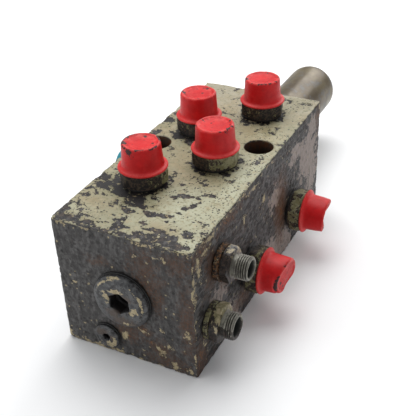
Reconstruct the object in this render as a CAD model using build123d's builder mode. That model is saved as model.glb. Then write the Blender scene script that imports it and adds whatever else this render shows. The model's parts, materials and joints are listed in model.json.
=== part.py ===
from build123d import *
import math
import os

# Pilot-operated multi-port hydraulic spool valve block.
# Frame: origin at the centre of the block's bottom face, +Z up, +Y from the plug end towards the
# spring housing, +X towards the side face that carries the two pressure ports.

os.makedirs("parts", exist_ok=True)

# ---- driving dimensions, mm ----
BLOCK_W = 100.0
BLOCK_L = 224.0
BLOCK_H = 98.0
EDGE_CHAMFER = 0.8
WORN_CORNER_R = 3.5
FRONT = -BLOCK_L / 2
REAR = BLOCK_L / 2
SIDE = BLOCK_W / 2

AXIS_Z = 50.0
BORE_R = 11.0
SPOOL_R = 10.97
GALLERY_R = 17.0
GALLERY_W = 8.0
PITCH = 20.5
FIRST_GALLERY = FRONT + 41.0
GALLERY_Y = [FIRST_GALLERY + PITCH * i for i in range(8)]
TANK_FRONT, WORK_A1, PRESSURE_1, WORK_B1, TANK_MID, WORK_A2, PRESSURE_2, WORK_B2 = GALLERY_Y

PILOT_CHAMBER_R = 15.0
PILOT_CHAMBER_DEPTH = 30.0
FRONT_STUD_R = 16.5
FRONT_STUD_DEPTH = 18.0
REAR_CHAMBER_R = 18.0
REAR_CHAMBER_DEPTH = 20.0

MOUNT_HOLE_R = 10.6
MOUNT_HOLES = [(34.6, FRONT + 135.0), (-36.0, FRONT + 113.0)]

TOP_PORT_X = 16.5
SIDE_PORT_Z = 33.5
PORT_STUD_R = 11.0
PORT_STUD_DEPTH = 16.0
PORT_DRILL_R = 5.0

TANK_STUD_R = 13.0
TANK_PORT_Y = FRONT + 144.0
TANK_PORT_Z = 52.0

PILOT_X_Y = FRONT + 21.5
PILOT_X_Z = SIDE_PORT_Z
PILOT_X_STUD_R = 9.0
PILOT_Y_Y = FRONT + 37.0
PILOT_Y_Z = 69.0
PILOT_Y_STUD_R = 8.0
PILOT_STUD_DEPTH = 14.0

CHANNEL_X = -15.5
CHANNEL_Z = 14.5
CHANNEL_STUD_R = 7.0
CHANNEL_STUD_DEPTH = 14.0
CHANNEL_CHAMBER_R = 5.0
CHANNEL_CHAMBER_END = 46.0
CHANNEL_R = 3.2
CHANNEL_END = 209.0
RISER_R = 3.0
SEALING_BALL_R = 4.0
RISER_Y = [FRONT + 21.5, TANK_FRONT, TANK_MID, FRONT + CHANNEL_END]
RISER_TOP = [PILOT_X_Z, 45.0, 45.0, 45.0]

FIT = 0.05
CAP_GAP = 0.3

TUBE_R = 22.7
TUBE_BORE_R = 19.0
TUBE_LENGTH = 131.0
TUBE_END_R = 13.0
TUBE_STUD_R = 17.9
TUBE_STUD_BORE_R = 15.6
TUBE_STUD_LENGTH = 12.0

SEAT_R = 14.9
SPRING_R = 11.8
WIRE_R = 2.0
SPRING_TURNS = 15
SPOOL_REAR = REAR - 10.0
SEAT_THICK = 4.0
SPRING_START = SPOOL_REAR + SEAT_THICK
SPRING_END = REAR + TUBE_LENGTH - 22.0


def save(builder, name):
    builder.part.label = name
    export_step(builder.part, f"parts/{name}.step")


def along_y(x, y, z):
    """Plane at a point, its normal towards +Y and its local x towards -X."""
    return Plane(origin=(x, y, z), x_dir=(-1, 0, 0), z_dir=(0, 1, 0))


def along_x(x, y, z):
    """Plane at a point, its normal towards +X and its local x towards +Y."""
    return Plane(origin=(x, y, z), x_dir=(0, 1, 0), z_dir=(1, 0, 0))


def against_x(x, y, z):
    """Plane at a point, its normal towards -X and its local x towards +Y."""
    return Plane(origin=(x, y, z), x_dir=(0, 1, 0), z_dir=(-1, 0, 0))


def upward(x, y, z):
    return Plane(origin=(x, y, z), x_dir=(1, 0, 0), z_dir=(0, 0, 1))


# Each fitting's plane lies on the block's face, its normal pointing out of the block.
WORK_PORTS = {
    "work_port_a1": (upward(-TOP_PORT_X, WORK_A1, BLOCK_H), 13.0),
    "work_port_b1": (upward(TOP_PORT_X, WORK_B1, BLOCK_H), 45.0),
    "work_port_a2": (upward(-TOP_PORT_X, WORK_A2, BLOCK_H), 43.0),
    "work_port_b2": (upward(TOP_PORT_X, WORK_B2, BLOCK_H), 47.0),
    "pressure_port_p1": (along_x(SIDE, PRESSURE_1, SIDE_PORT_Z), 44.0),
    "pressure_port_p2": (along_x(SIDE, PRESSURE_2, SIDE_PORT_Z), 41.0),
}
TANK_PORT = against_x(-SIDE, TANK_PORT_Y, TANK_PORT_Z)
PILOT_X = along_x(SIDE, PILOT_X_Y, PILOT_X_Z)
PILOT_Y = along_x(SIDE, PILOT_Y_Y, PILOT_Y_Z)
FRONT_PLUG = Plane(origin=(0, FRONT, AXIS_Z), x_dir=(1, 0, 0), z_dir=(0, -1, 0))
CHANNEL_PLUG = Plane(origin=(CHANNEL_X, FRONT, CHANNEL_Z), x_dir=(1, 0, 0), z_dir=(0, -1, 0))


def drill(plane, radius, depth):
    """Cuts a round hole into the open part, from the plane against its normal."""
    with BuildSketch(plane) as mouth:
        Circle(radius)
    extrude(mouth.sketch, amount=-depth, mode=Mode.SUBTRACT)


# ---- valve body ----
with BuildPart() as valve_body:
    with BuildSketch(Plane.XY):
        Rectangle(BLOCK_W, BLOCK_L)
    extrude(amount=BLOCK_H)
    upright = valve_body.edges().filter_by(Axis.Z)
    worn = upright.filter_by_position(Axis.X, -SIDE - 1, -SIDE + 1)
    worn = worn.filter_by_position(Axis.Y, FRONT - 1, FRONT + 1)
    fillet(worn, WORN_CORNER_R)
    top_face = valve_body.faces().sort_by(Axis.Z)[-1]
    bottom_face = valve_body.faces().sort_by(Axis.Z)[0]
    chamfer(top_face.edges(), EDGE_CHAMFER)
    chamfer(bottom_face.edges(), EDGE_CHAMFER)
    # spool bore with its annular galleries and both end chambers
    drill(along_y(0, REAR, AXIS_Z), BORE_R, BLOCK_L)
    for gallery in GALLERY_Y:
        drill(along_y(0, gallery + GALLERY_W / 2, AXIS_Z), GALLERY_R, GALLERY_W)
    drill(FRONT_PLUG, PILOT_CHAMBER_R, PILOT_CHAMBER_DEPTH)
    drill(FRONT_PLUG, FRONT_STUD_R, FRONT_STUD_DEPTH)
    drill(along_y(0, REAR, AXIS_Z), REAR_CHAMBER_R, REAR_CHAMBER_DEPTH)
    # groove for the spring housing's O-ring
    drill(along_y(0, REAR, AXIS_Z), 21.0, 2.0)
    # work and pressure ports
    for port_plane, _ in WORK_PORTS.values():
        drill(port_plane, PORT_STUD_R, PORT_STUD_DEPTH)
    for name in ("work_port_a1", "work_port_b1", "work_port_a2", "work_port_b2"):
        drill(WORK_PORTS[name][0], PORT_DRILL_R, BLOCK_H - 46.0)
    for name in ("pressure_port_p1", "pressure_port_p2"):
        drill(WORK_PORTS[name][0], PORT_DRILL_R, SIDE - 9.0)
    # tank port, its drilling slanted past the mounting hole to the middle gallery
    drill(TANK_PORT, TANK_STUD_R, PORT_STUD_DEPTH)
    slant_start = Vector(-SIDE + PORT_STUD_DEPTH - 2, TANK_PORT_Y, TANK_PORT_Z)
    slant_end = Vector(-12, TANK_MID + 3, AXIS_Z)
    slant = slant_start - slant_end
    drill(Plane(origin=slant_start, z_dir=slant), PORT_DRILL_R, slant.length)
    # pilot ports
    drill(PILOT_X, PILOT_X_STUD_R, PILOT_STUD_DEPTH + 1)
    drill(PILOT_X, RISER_R + 0.5, SIDE - CHANNEL_X)
    drill(PILOT_Y, PILOT_Y_STUD_R, PILOT_STUD_DEPTH + 1)
    drill(PILOT_Y, RISER_R + 1, SIDE)
    # long tank channel under the bore, with its check valve chamber
    drill(CHANNEL_PLUG, CHANNEL_STUD_R, CHANNEL_STUD_DEPTH)
    drill(CHANNEL_PLUG, CHANNEL_CHAMBER_R, CHANNEL_CHAMBER_END)
    drill(CHANNEL_PLUG, CHANNEL_R, CHANNEL_END)
    for riser_y, riser_top in zip(RISER_Y, RISER_TOP):
        riser = Plane(origin=(CHANNEL_X, riser_y, 0), x_dir=(1, 0, 0), z_dir=(0, 0, -1))
        drill(riser, RISER_R, riser_top)
        drill(riser, SEALING_BALL_R, 6.0)
    for hole_x, hole_y in MOUNT_HOLES:
        drill(upward(hole_x, hole_y, BLOCK_H), MOUNT_HOLE_R, BLOCK_H)
save(valve_body, "valve_body")

# ---- expander plugs pressed into the drillings in the underside ----
with BuildPart() as channel_sealing_plugs:
    for riser_y in RISER_Y:
        with BuildSketch(upward(CHANNEL_X, riser_y, 0.6)):
            Circle(SEALING_BALL_R - FIT)
        extrude(amount=5.2)
    lower_rims = channel_sealing_plugs.edges().group_by(Axis.Z)[0]
    chamfer(lower_rims, 0.5)
save(channel_sealing_plugs, "channel_sealing_plugs")

# ---- main spool ----
GROOVE_R = 7.0
OVERLAP = 2.0
LAND_HALF = GALLERY_W / 2 + OVERLAP
SPOOL_FRONT = FRONT + FRONT_STUD_DEPTH + 0.3
PILOT_LAND_END = FRONT + 35.0
REAR_LAND_START = WORK_B2 + 9.0
SPOOL_THREAD_R = 4.0
LANDS = [(SPOOL_FRONT, PILOT_LAND_END)]
for work in (WORK_A1, WORK_B1, WORK_A2, WORK_B2):
    LANDS.append((work - LAND_HALF, work + LAND_HALF))
LANDS.append((REAR_LAND_START, SPOOL_REAR))

with BuildPart() as main_spool:
    with BuildSketch(along_y(0, SPOOL_FRONT, AXIS_Z)):
        Circle(GROOVE_R)
    extrude(amount=SPOOL_REAR - SPOOL_FRONT)
    for land_start, land_end in LANDS:
        with BuildSketch(along_y(0, land_start, AXIS_Z)):
            Circle(SPOOL_R)
        extrude(amount=land_end - land_start)
    rims = main_spool.edges().filter_by(GeomType.CIRCLE)
    rims = rims.filter_by(lambda e: abs(e.radius - SPOOL_R) < 0.01)
    chamfer(rims, 0.4)
    # balancing grooves in the two guide lands
    for groove_y in (PILOT_LAND_END - 7, PILOT_LAND_END - 4, SPOOL_REAR - 13, SPOOL_REAR - 9):
        with BuildSketch(along_y(0, groove_y, AXIS_Z)):
            Circle(SPOOL_R + 1)
            Circle(SPOOL_R - 0.6, mode=Mode.SUBTRACT)
        extrude(amount=0.8, mode=Mode.SUBTRACT)
    drill(along_y(0, SPOOL_REAR, AXIS_Z), SPOOL_THREAD_R, 20.0)
    # centring recess in the pilot face
    with BuildSketch(along_y(0, SPOOL_FRONT, AXIS_Z)):
        Circle(5.0)
    extrude(amount=4.0, mode=Mode.SUBTRACT)
save(main_spool, "main_spool")

# ---- spring seat on the spool's tail, and the screw that holds it ----
with BuildPart() as spool_spring_seat:
    with BuildSketch(along_y(0, SPOOL_REAR + FIT, AXIS_Z)):
        Circle(SEAT_R)
    extrude(amount=SEAT_THICK - 2 * FIT)
    with BuildSketch(along_y(0, SPRING_START - FIT, AXIS_Z)):
        Circle(SPRING_R - WIRE_R - 0.6)
    extrude(amount=5.0)
    drill(along_y(0, SPRING_START + 6, AXIS_Z), SPOOL_THREAD_R + 0.2, 14.0)
save(spool_spring_seat, "spool_spring_seat")

with BuildPart() as spring_seat_screw:
    head_start = SPRING_START + 5.0
    with BuildSketch(along_y(0, head_start + FIT, AXIS_Z)):
        Circle(6.5)
    extrude(amount=8.0)
    with BuildSketch(along_y(0, head_start + 8 + FIT, AXIS_Z)):
        RegularPolygon(3.0, 6, major_radius=False)
    extrude(amount=-4.0, mode=Mode.SUBTRACT)
    with BuildSketch(along_y(0, head_start + FIT, AXIS_Z)):
        Circle(SPOOL_THREAD_R - FIT)
    extrude(amount=-24.0)
save(spring_seat_screw, "spring_seat_screw")

# ---- return spring, its ends closed on the seats ----
with BuildPart() as return_spring:
    spring_height = SPRING_END - SPRING_START - 2 * WIRE_R - 0.6
    coil_start = SPRING_START + WIRE_R + 0.3
    with BuildLine():
        coil = Helix(
            spring_height / SPRING_TURNS, spring_height, SPRING_R, (0, coil_start, AXIS_Z), (0, 1, 0)
        )
    with BuildSketch(Plane(origin=coil @ 0, z_dir=coil % 0)):
        Circle(WIRE_R)
    sweep(path=coil, is_frenet=True)
save(return_spring, "return_spring")

# ---- seat at the closed end of the housing ----
with BuildPart() as housing_spring_seat:
    with BuildSketch(along_y(0, SPRING_END, AXIS_Z)):
        Circle(TUBE_BORE_R - 0.4)
    extrude(amount=8.0)
    with BuildSketch(along_y(0, SPRING_END, AXIS_Z)):
        Circle(SPRING_R - WIRE_R - 0.6)
    extrude(amount=-8.0)
    chamfer(housing_spring_seat.edges().group_by(Axis.Y)[0], 1.0)
save(housing_spring_seat, "housing_spring_seat")

# ---- spring housing: closed tube screwed into the rear face ----
with BuildPart() as spring_housing:
    tube_end = REAR + TUBE_LENGTH
    with BuildSketch(Plane(origin=(0, 0, AXIS_Z), x_dir=(1, 0, 0), z_dir=(0, 0, 1))):
        with BuildLine():
            Polyline(
                (TUBE_STUD_BORE_R, REAR - TUBE_STUD_LENGTH),
                (TUBE_STUD_R, REAR - TUBE_STUD_LENGTH),
                (TUBE_STUD_R, REAR + FIT),
                (TUBE_R, REAR + FIT),
                (TUBE_R, tube_end - TUBE_END_R),
            )
            RadiusArc(
                (TUBE_R, tube_end - TUBE_END_R), (TUBE_R - TUBE_END_R, tube_end), -TUBE_END_R
            )
            Polyline(
                (TUBE_R - TUBE_END_R, tube_end),
                (0, tube_end),
                (0, SPRING_END + 8.2),
                (TUBE_BORE_R, SPRING_END + 8.2),
                (TUBE_BORE_R, REAR + 6),
                (TUBE_STUD_BORE_R, REAR + 2),
                (TUBE_STUD_BORE_R, REAR - TUBE_STUD_LENGTH),
            )
        make_face()
    revolve(axis=Axis((0, 0, AXIS_Z), (0, 1, 0)))
save(spring_housing, "spring_housing")


def ring(plane, inner, outer, low, high, soften=0.2):
    """A flat sealing ring between two heights above the plane."""
    with BuildPart() as washer:
        with BuildSketch(plane.offset(low)):
            Circle(outer)
            Circle(inner, mode=Mode.SUBTRACT)
        extrude(amount=high - low)
        fillet(washer.edges(), soften)
    return washer


with BuildPart() as housing_o_ring:
    with BuildSketch(Plane(origin=(0, 0, AXIS_Z), x_dir=(1, 0, 0), z_dir=(0, 0, 1))):
        with Locations((19.5, REAR - 1.0)):
            Circle(0.95)
    revolve(axis=Axis((0, 0, AXIS_Z), (0, 1, 0)))
save(housing_o_ring, "housing_o_ring")


def turned(plane, points):
    """A solid of revolution about the plane's normal, from (radius, height) points."""
    half = Plane(origin=plane.origin, x_dir=plane.x_dir, z_dir=-plane.y_dir)
    with BuildPart() as piece:
        with BuildSketch(half):
            with BuildLine():
                Polyline(*points, close=True)
            make_face()
        revolve(axis=Axis(plane.origin, plane.z_dir))
    return piece


def socket_plug(plane, stud_r, stud_len, flange_r, face_r, seal_t, rim_h, face_h, key_af, key_depth, turn):
    """Screw plug with a sealing flange, a bevelled face and an inner hexagon turned about its axis."""
    body = turned(
        plane,
        [
            (0, -stud_len),
            (stud_r - 1.2, -stud_len),
            (stud_r - FIT, -stud_len + 1.2),
            (stud_r - FIT, seal_t),
            (flange_r, seal_t),
            (flange_r, rim_h),
            (face_r + 1.0, face_h - 0.4),
            (face_r, face_h),
            (0, face_h),
        ],
    )
    with BuildPart() as plug:
        add(body.part)
        with BuildSketch(plane.offset(face_h)):
            RegularPolygon(key_af / 2, 6, major_radius=False, rotation=turn)
        extrude(amount=-key_depth, mode=Mode.SUBTRACT)
        # pilot drilling under the broached hexagon
        with BuildSketch(plane.offset(face_h - key_depth)):
            Circle(0.8 * key_af / 2)
        extrude(amount=-0.4 * key_depth, mode=Mode.SUBTRACT)
    return plug


FRONT_SEAL_T = 1.6
front_end_plug = socket_plug(
    FRONT_PLUG, FRONT_STUD_R, FRONT_STUD_DEPTH - 0.2, 20.0, 16.4, FRONT_SEAL_T, 4.0, 6.3, 14.0, 8.0, 30.0
)
save(front_end_plug, "front_end_plug")
front_plug_seal = ring(FRONT_PLUG, FRONT_STUD_R, 20.6, FIT, FRONT_SEAL_T - FIT)
save(front_plug_seal, "front_plug_seal")

CHANNEL_SEAL_T = 1.2
CHANNEL_STUD_LEN = CHANNEL_STUD_DEPTH - 0.2
channel_plug = socket_plug(
    CHANNEL_PLUG, CHANNEL_STUD_R, CHANNEL_STUD_LEN, 9.2, 7.4, CHANNEL_SEAL_T, 2.6, 3.4, 5.0, 6.0, 0.0
)
save(channel_plug, "channel_plug")
channel_plug_seal = ring(CHANNEL_PLUG, CHANNEL_STUD_R, 9.9, FIT, CHANNEL_SEAL_T - FIT)
save(channel_plug_seal, "channel_plug_seal")

# ---- check valve in the tank channel ----
CHECK_SEAT_Y = FRONT + 26.5
CHECK_SEAT_LEN = 5.0
CHECK_SEAT_BORE = 2.4
BALL_R = 3.2
BALL_Y = CHECK_SEAT_Y + CHECK_SEAT_LEN + math.sqrt(BALL_R**2 - (CHECK_SEAT_BORE + 0.1) ** 2) + 0.1
with BuildPart() as check_seat:
    with BuildSketch(along_y(CHANNEL_X, CHECK_SEAT_Y, CHANNEL_Z)):
        Circle(CHANNEL_CHAMBER_R - 0.02)
        Circle(CHECK_SEAT_BORE, mode=Mode.SUBTRACT)
    extrude(amount=CHECK_SEAT_LEN)
save(check_seat, "check_seat")

with BuildPart() as check_ball:
    with BuildSketch(Plane(origin=(CHANNEL_X, BALL_Y, CHANNEL_Z), x_dir=(1, 0, 0), z_dir=(0, 0, 1))):
        Circle(BALL_R)
        with Locations((-BALL_R, 0)):
            Rectangle(2 * BALL_R, 3 * BALL_R, mode=Mode.SUBTRACT)
    revolve(axis=Axis((CHANNEL_X, BALL_Y, CHANNEL_Z), (0, 1, 0)))
save(check_ball, "check_ball")

CHECK_WIRE_R = 0.35
CHECK_SPRING_R = 2.6
CHECK_SPRING_TURNS = 6
with BuildPart() as check_spring:
    check_coil_start = BALL_Y + math.sqrt((BALL_R + CHECK_WIRE_R) ** 2 - CHECK_SPRING_R**2) + 0.1
    check_coil_height = FRONT + CHANNEL_CHAMBER_END - CHECK_WIRE_R - 0.1 - check_coil_start
    with BuildLine():
        check_coil = Helix(
            check_coil_height / CHECK_SPRING_TURNS,
            check_coil_height,
            CHECK_SPRING_R,
            (CHANNEL_X, check_coil_start, CHANNEL_Z),
            (0, 1, 0),
        )
    with BuildSketch(Plane(origin=check_coil @ 0, z_dir=check_coil % 0)):
        Circle(CHECK_WIRE_R)
    sweep(path=check_coil, is_frenet=True)
save(check_spring, "check_spring")

# ---- damping orifice pressed into the pilot drilling ----
with BuildPart() as pilot_orifice:
    with BuildSketch(PILOT_X.offset(-24.0)):
        Circle(RISER_R + 0.48)
        Circle(0.6, mode=Mode.SUBTRACT)
    extrude(amount=6.0)
save(pilot_orifice, "pilot_orifice")


def adapter(plane, turn, stud_r, stud_len, seal_t, hex_af, hex_top, thread_r, top, bore_r, mouth_r):
    """Screwed port adapter: stud, hexagon with turned chamfers, neck, male thread and cone mouth."""
    corner_r = hex_af / math.sqrt(3)
    chamfer_h = 0.6 * (corner_r - hex_af / 2)
    flat_r = hex_af / 2
    neck_r = thread_r - 1.1
    envelope = turned(
        plane,
        [
            (bore_r, -stud_len),
            (stud_r - 1.0, -stud_len),
            (stud_r - FIT, -stud_len + 1.0),
            (stud_r - FIT, seal_t),
            (flat_r - 0.4, seal_t),
            (corner_r + 0.1, seal_t + chamfer_h),
            (corner_r + 0.1, hex_top - chamfer_h),
            (flat_r - 0.4, hex_top),
            (neck_r, hex_top),
            (neck_r, hex_top + 1.8),
            (thread_r, hex_top + 2.8),
            (thread_r, top - 1.0),
            (thread_r - 1.0, top),
            (mouth_r, top),
            (bore_r, top - (mouth_r - bore_r) / math.tan(math.radians(12))),
        ],
    )
    with BuildPart() as wrench_faces:
        with BuildSketch(plane.offset(seal_t)):
            Circle(corner_r + 2)
            RegularPolygon(flat_r, 6, major_radius=False, rotation=turn, mode=Mode.SUBTRACT)
        extrude(amount=hex_top - seal_t)
    with BuildPart() as fitting:
        add(envelope.part)
        add(wrench_faces.part, mode=Mode.SUBTRACT)
    return fitting


def port_cap(plane, skirt_r, foot_r, tip_r, inner_r, low, lip_t, high):
    """Tapered push-on dust cap with a rounded foot flange and a slightly dished top."""
    half = Plane(origin=plane.origin, x_dir=plane.x_dir, z_dir=-plane.y_dir)
    top_wall = 2.0
    rim_r = 1.4
    with BuildPart() as cap:
        with BuildSketch(half):
            with BuildLine():
                Polyline(
                    (0, high - top_wall),
                    (inner_r - 0.5, high - top_wall),
                    (inner_r, high - top_wall - 1.0),
                    (inner_r, low),
                    (skirt_r - lip_t / 2, low),
                )
                ThreePointArc(
                    (skirt_r - lip_t / 2, low),
                    (skirt_r, low + lip_t / 2),
                    (skirt_r - lip_t / 2, low + lip_t),
                )
                Polyline(
                    (skirt_r - lip_t / 2, low + lip_t),
                    (foot_r + 0.6, low + lip_t),
                    (foot_r, low + lip_t + 0.8),
                    (tip_r, high - rim_r),
                )
                RadiusArc((tip_r, high - rim_r), (tip_r - rim_r, high), -rim_r)
                Polyline(
                    (tip_r - rim_r, high),
                    (tip_r - rim_r - 1.0, high - 0.3),
                    (0, high - 0.5),
                    (0, high - top_wall),
                )
            make_face()
        revolve(axis=Axis(plane.origin, plane.z_dir))
    return cap


# ---- six work and pressure ports: adapter, seal and cap ----
PORT_SEAL_T = 1.6
PORT_HEX_AF = 30.0
PORT_HEX_TOP = 11.2
PORT_THREAD_R = 12.0
WORK_THREAD_TOP = 26.5
PRESSURE_THREAD_TOP = 20.5
CAP_LOW = PORT_HEX_TOP + CAP_GAP
CAP_LIP = 2.4
CAP_TOP = 30.2
for port_name, (port_plane, hex_turn) in WORK_PORTS.items():
    thread_top = WORK_THREAD_TOP if port_name.startswith("work") else PRESSURE_THREAD_TOP
    port_adapter = adapter(
        port_plane,
        hex_turn,
        PORT_STUD_R,
        PORT_STUD_DEPTH - 1,
        PORT_SEAL_T,
        PORT_HEX_AF,
        PORT_HEX_TOP,
        PORT_THREAD_R,
        thread_top,
        PORT_DRILL_R + 1,
        9.2,
    )
    save(port_adapter, f"{port_name}_adapter")
    port_seal = ring(port_plane, PORT_STUD_R, 14.2, FIT, PORT_SEAL_T - FIT)
    save(port_seal, f"{port_name}_seal")
    dust_cap = port_cap(port_plane, 17.0, 13.9, 13.1, PORT_THREAD_R + 0.3, CAP_LOW, CAP_LIP, CAP_TOP)
    save(dust_cap, f"{port_name}_cap")

# ---- tank port: one size larger ----
TANK_SEAL_T = 2.0
TANK_HEX_TOP = 14.0
TANK_THREAD_R = 13.5
TANK_CAP_LOW = TANK_HEX_TOP + CAP_GAP
TANK_CAP_TOP = 38.0
tank_adapter = adapter(
    TANK_PORT,
    30.0,
    TANK_STUD_R,
    PORT_STUD_DEPTH - 1,
    TANK_SEAL_T,
    36.0,
    TANK_HEX_TOP,
    TANK_THREAD_R,
    34.0,
    7.0,
    10.2,
)
save(tank_adapter, "tank_port_adapter")
tank_seal = ring(TANK_PORT, TANK_STUD_R, 17.0, FIT, TANK_SEAL_T - FIT)
save(tank_seal, "tank_port_seal")
tank_cap = port_cap(
    TANK_PORT, 19.5, 16.2, 15.2, TANK_THREAD_R + 0.3, TANK_CAP_LOW, CAP_LIP, TANK_CAP_TOP
)
save(tank_cap, "tank_port_cap")

# ---- two open pilot adapters ----
PILOT_Y_SEAL_T = 4.0
pilot_y_adapter = adapter(
    PILOT_Y, -4.0, PILOT_Y_STUD_R, PILOT_STUD_DEPTH, PILOT_Y_SEAL_T, 22.0, 9.6, 8.0, 21.5, 4.0, 6.1
)
save(pilot_y_adapter, "pilot_port_y_adapter")
pilot_y_ring = ring(PILOT_Y, PILOT_Y_STUD_R, 12.6, FIT, PILOT_Y_SEAL_T - FIT, 0.5)
save(pilot_y_ring, "pilot_port_y_seal")

PILOT_X_SEAL_T = 3.4
pilot_x_adapter = adapter(
    PILOT_X, 38.6, PILOT_X_STUD_R, PILOT_STUD_DEPTH, PILOT_X_SEAL_T, 24.0, 9.2, 9.0, 18.8, 4.5, 6.8
)
save(pilot_x_adapter, "pilot_port_x_adapter")
pilot_x_ring = ring(PILOT_X, PILOT_X_STUD_R, 12.9, FIT, PILOT_X_SEAL_T - FIT, 0.5)
save(pilot_x_ring, "pilot_port_x_seal")
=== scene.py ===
import math

import bmesh
import bpy
import numpy as np
from mathutils import Matrix, Vector, noise
from mathutils.geometry import delaunay_2d_cdt
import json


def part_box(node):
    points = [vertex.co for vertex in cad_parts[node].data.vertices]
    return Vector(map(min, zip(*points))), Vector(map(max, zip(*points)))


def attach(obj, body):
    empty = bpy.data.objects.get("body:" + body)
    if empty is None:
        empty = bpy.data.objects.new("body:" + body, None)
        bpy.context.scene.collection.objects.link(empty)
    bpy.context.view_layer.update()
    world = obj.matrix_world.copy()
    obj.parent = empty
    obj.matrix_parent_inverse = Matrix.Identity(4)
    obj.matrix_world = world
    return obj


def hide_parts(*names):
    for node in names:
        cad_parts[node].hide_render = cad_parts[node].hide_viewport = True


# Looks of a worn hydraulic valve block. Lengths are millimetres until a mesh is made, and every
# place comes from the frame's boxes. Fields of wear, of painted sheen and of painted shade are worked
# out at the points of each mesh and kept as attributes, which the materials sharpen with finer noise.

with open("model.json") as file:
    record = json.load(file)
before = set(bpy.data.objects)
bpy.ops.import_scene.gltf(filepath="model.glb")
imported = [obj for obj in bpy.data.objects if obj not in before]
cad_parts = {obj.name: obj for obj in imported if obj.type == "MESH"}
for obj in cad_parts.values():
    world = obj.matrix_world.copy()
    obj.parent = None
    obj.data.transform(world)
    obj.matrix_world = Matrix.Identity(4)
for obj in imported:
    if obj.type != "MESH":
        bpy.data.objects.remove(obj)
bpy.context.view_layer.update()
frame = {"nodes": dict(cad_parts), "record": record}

MM = 0.001
X, Y, Z = np.eye(3)


def node_box(node):
    low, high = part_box(node)
    return np.array(low) / MM, np.array(high) / MM


BLOCK_LOW, BLOCK_HIGH = node_box("valve_body")
FRONT, REAR = BLOCK_LOW[1], BLOCK_HIGH[1]
LEFT, RIGHT = BLOCK_LOW[0], BLOCK_HIGH[0]
TOP = BLOCK_HIGH[2]


# ---------------------------------------------------------------- noise and wear fields


def cloud(points, size, octaves=4, seed=0.0):
    """Fractal noise, about -1 to 1, at points in mm; size is its largest blots' width in mm."""
    shift = Vector((17.3, 5.1, 9.7)) * seed
    return np.array([noise.fractal(Vector(p) / size + shift, 0.9, 2.0, octaves) for p in points])


def smooth(value, low, high):
    """0 under low, 1 over high, and an S-curve between."""
    share = np.clip((value - low) / (high - low), 0.0, 1.0)
    return share * share * (3 - 2 * share)


def blot(across, along, spots, fuzz):
    """How far inside the nearest of some oval spots each point lies: 1 at a middle, 0 at twice its edge."""
    best = np.zeros(len(across))
    for spot in spots:
        x, y, half_length, half_width = spot[:4]
        lean = math.radians(spot[4]) if len(spot) > 4 else 0.0
        u = (across - x) * math.cos(lean) + (along - y) * math.sin(lean)
        v = (along - y) * math.cos(lean) - (across - x) * math.sin(lean)
        distance = np.hypot(u / half_length, v / half_width)
        best = np.maximum(best, 1 - distance / 2)
    return np.clip(best + fuzz, 0, 1)


# ---------------------------------------------------------------- meshes


def piece_from(name, points, faces, angle=35.0):
    """A mesh object from points in mm, its normals outward, smooth but for edges sharper than the angle."""
    mesh = bpy.data.meshes.new(name)
    mesh.from_pydata([tuple(p) for p in np.asarray(points) * MM], [], [tuple(f) for f in faces])
    work = bmesh.new()
    work.from_mesh(mesh)
    bmesh.ops.recalc_face_normals(work, faces=work.faces)
    if work.calc_volume(signed=True) < 0:
        bmesh.ops.reverse_faces(work, faces=work.faces)
    work.to_mesh(mesh)
    work.free()
    mesh.shade_smooth()
    mesh.set_sharp_from_angle(angle=math.radians(angle))
    piece = bpy.data.objects.new(name, mesh)
    bpy.context.scene.collection.objects.link(piece)
    return piece


def points_of(piece):
    flat = np.zeros(len(piece.data.vertices) * 3, np.float32)
    piece.data.vertices.foreach_get("co", flat)
    return flat.reshape(-1, 3).astype(float) / MM


def normals_of(piece):
    flat = np.zeros(len(piece.data.vertices) * 3, np.float32)
    piece.data.vertices.foreach_get("normal", flat)
    return flat.reshape(-1, 3).astype(float)


def move_points(piece, points):
    piece.data.vertices.foreach_set("co", (points * MM).astype(np.float32).ravel())
    piece.data.update()


def sink(piece, depth):
    """Moves each point inward by its depth in mm."""
    move_points(piece, points_of(piece) - normals_of(piece) * np.asarray(depth)[:, None])


def field(piece, name, values):
    """Keeps one number at each point for the material to read."""
    layer = piece.data.attributes.new(name, "FLOAT", "POINT")
    layer.data.foreach_set("value", np.asarray(values, np.float32))


class Seat:
    """A fitting's place: origin on the block's face, axis out of it, and where its angles start."""

    def __init__(self, origin, axis, start):
        self.origin = np.array(origin, float)
        self.axis = np.array(axis, float)
        self.start = np.array(start, float)
        self.side = np.cross(self.axis, self.start)

    def place(self, radius, angle, height):
        radius, angle, height = (np.asarray(v)[..., None] for v in (radius, angle, height))
        across = np.cos(angle) * self.start + np.sin(angle) * self.side
        return self.origin + radius * across + height * self.axis

    def polar(self, points):
        """Radius, angle in degrees and height of points about this seat."""
        offset = points - self.origin
        across, along = offset @ self.start, offset @ self.side
        return np.hypot(across, along), np.degrees(np.arctan2(along, across)), offset @ self.axis


def seat_of(node, axis, start, level):
    """Seat at the middle of a node's box, at that level of the axis it points along."""
    low, high = node_box(node)
    origin = (low + high) / 2
    along = np.abs(axis) > 0.5
    origin[along] = level
    return Seat(origin, axis, start)


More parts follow.
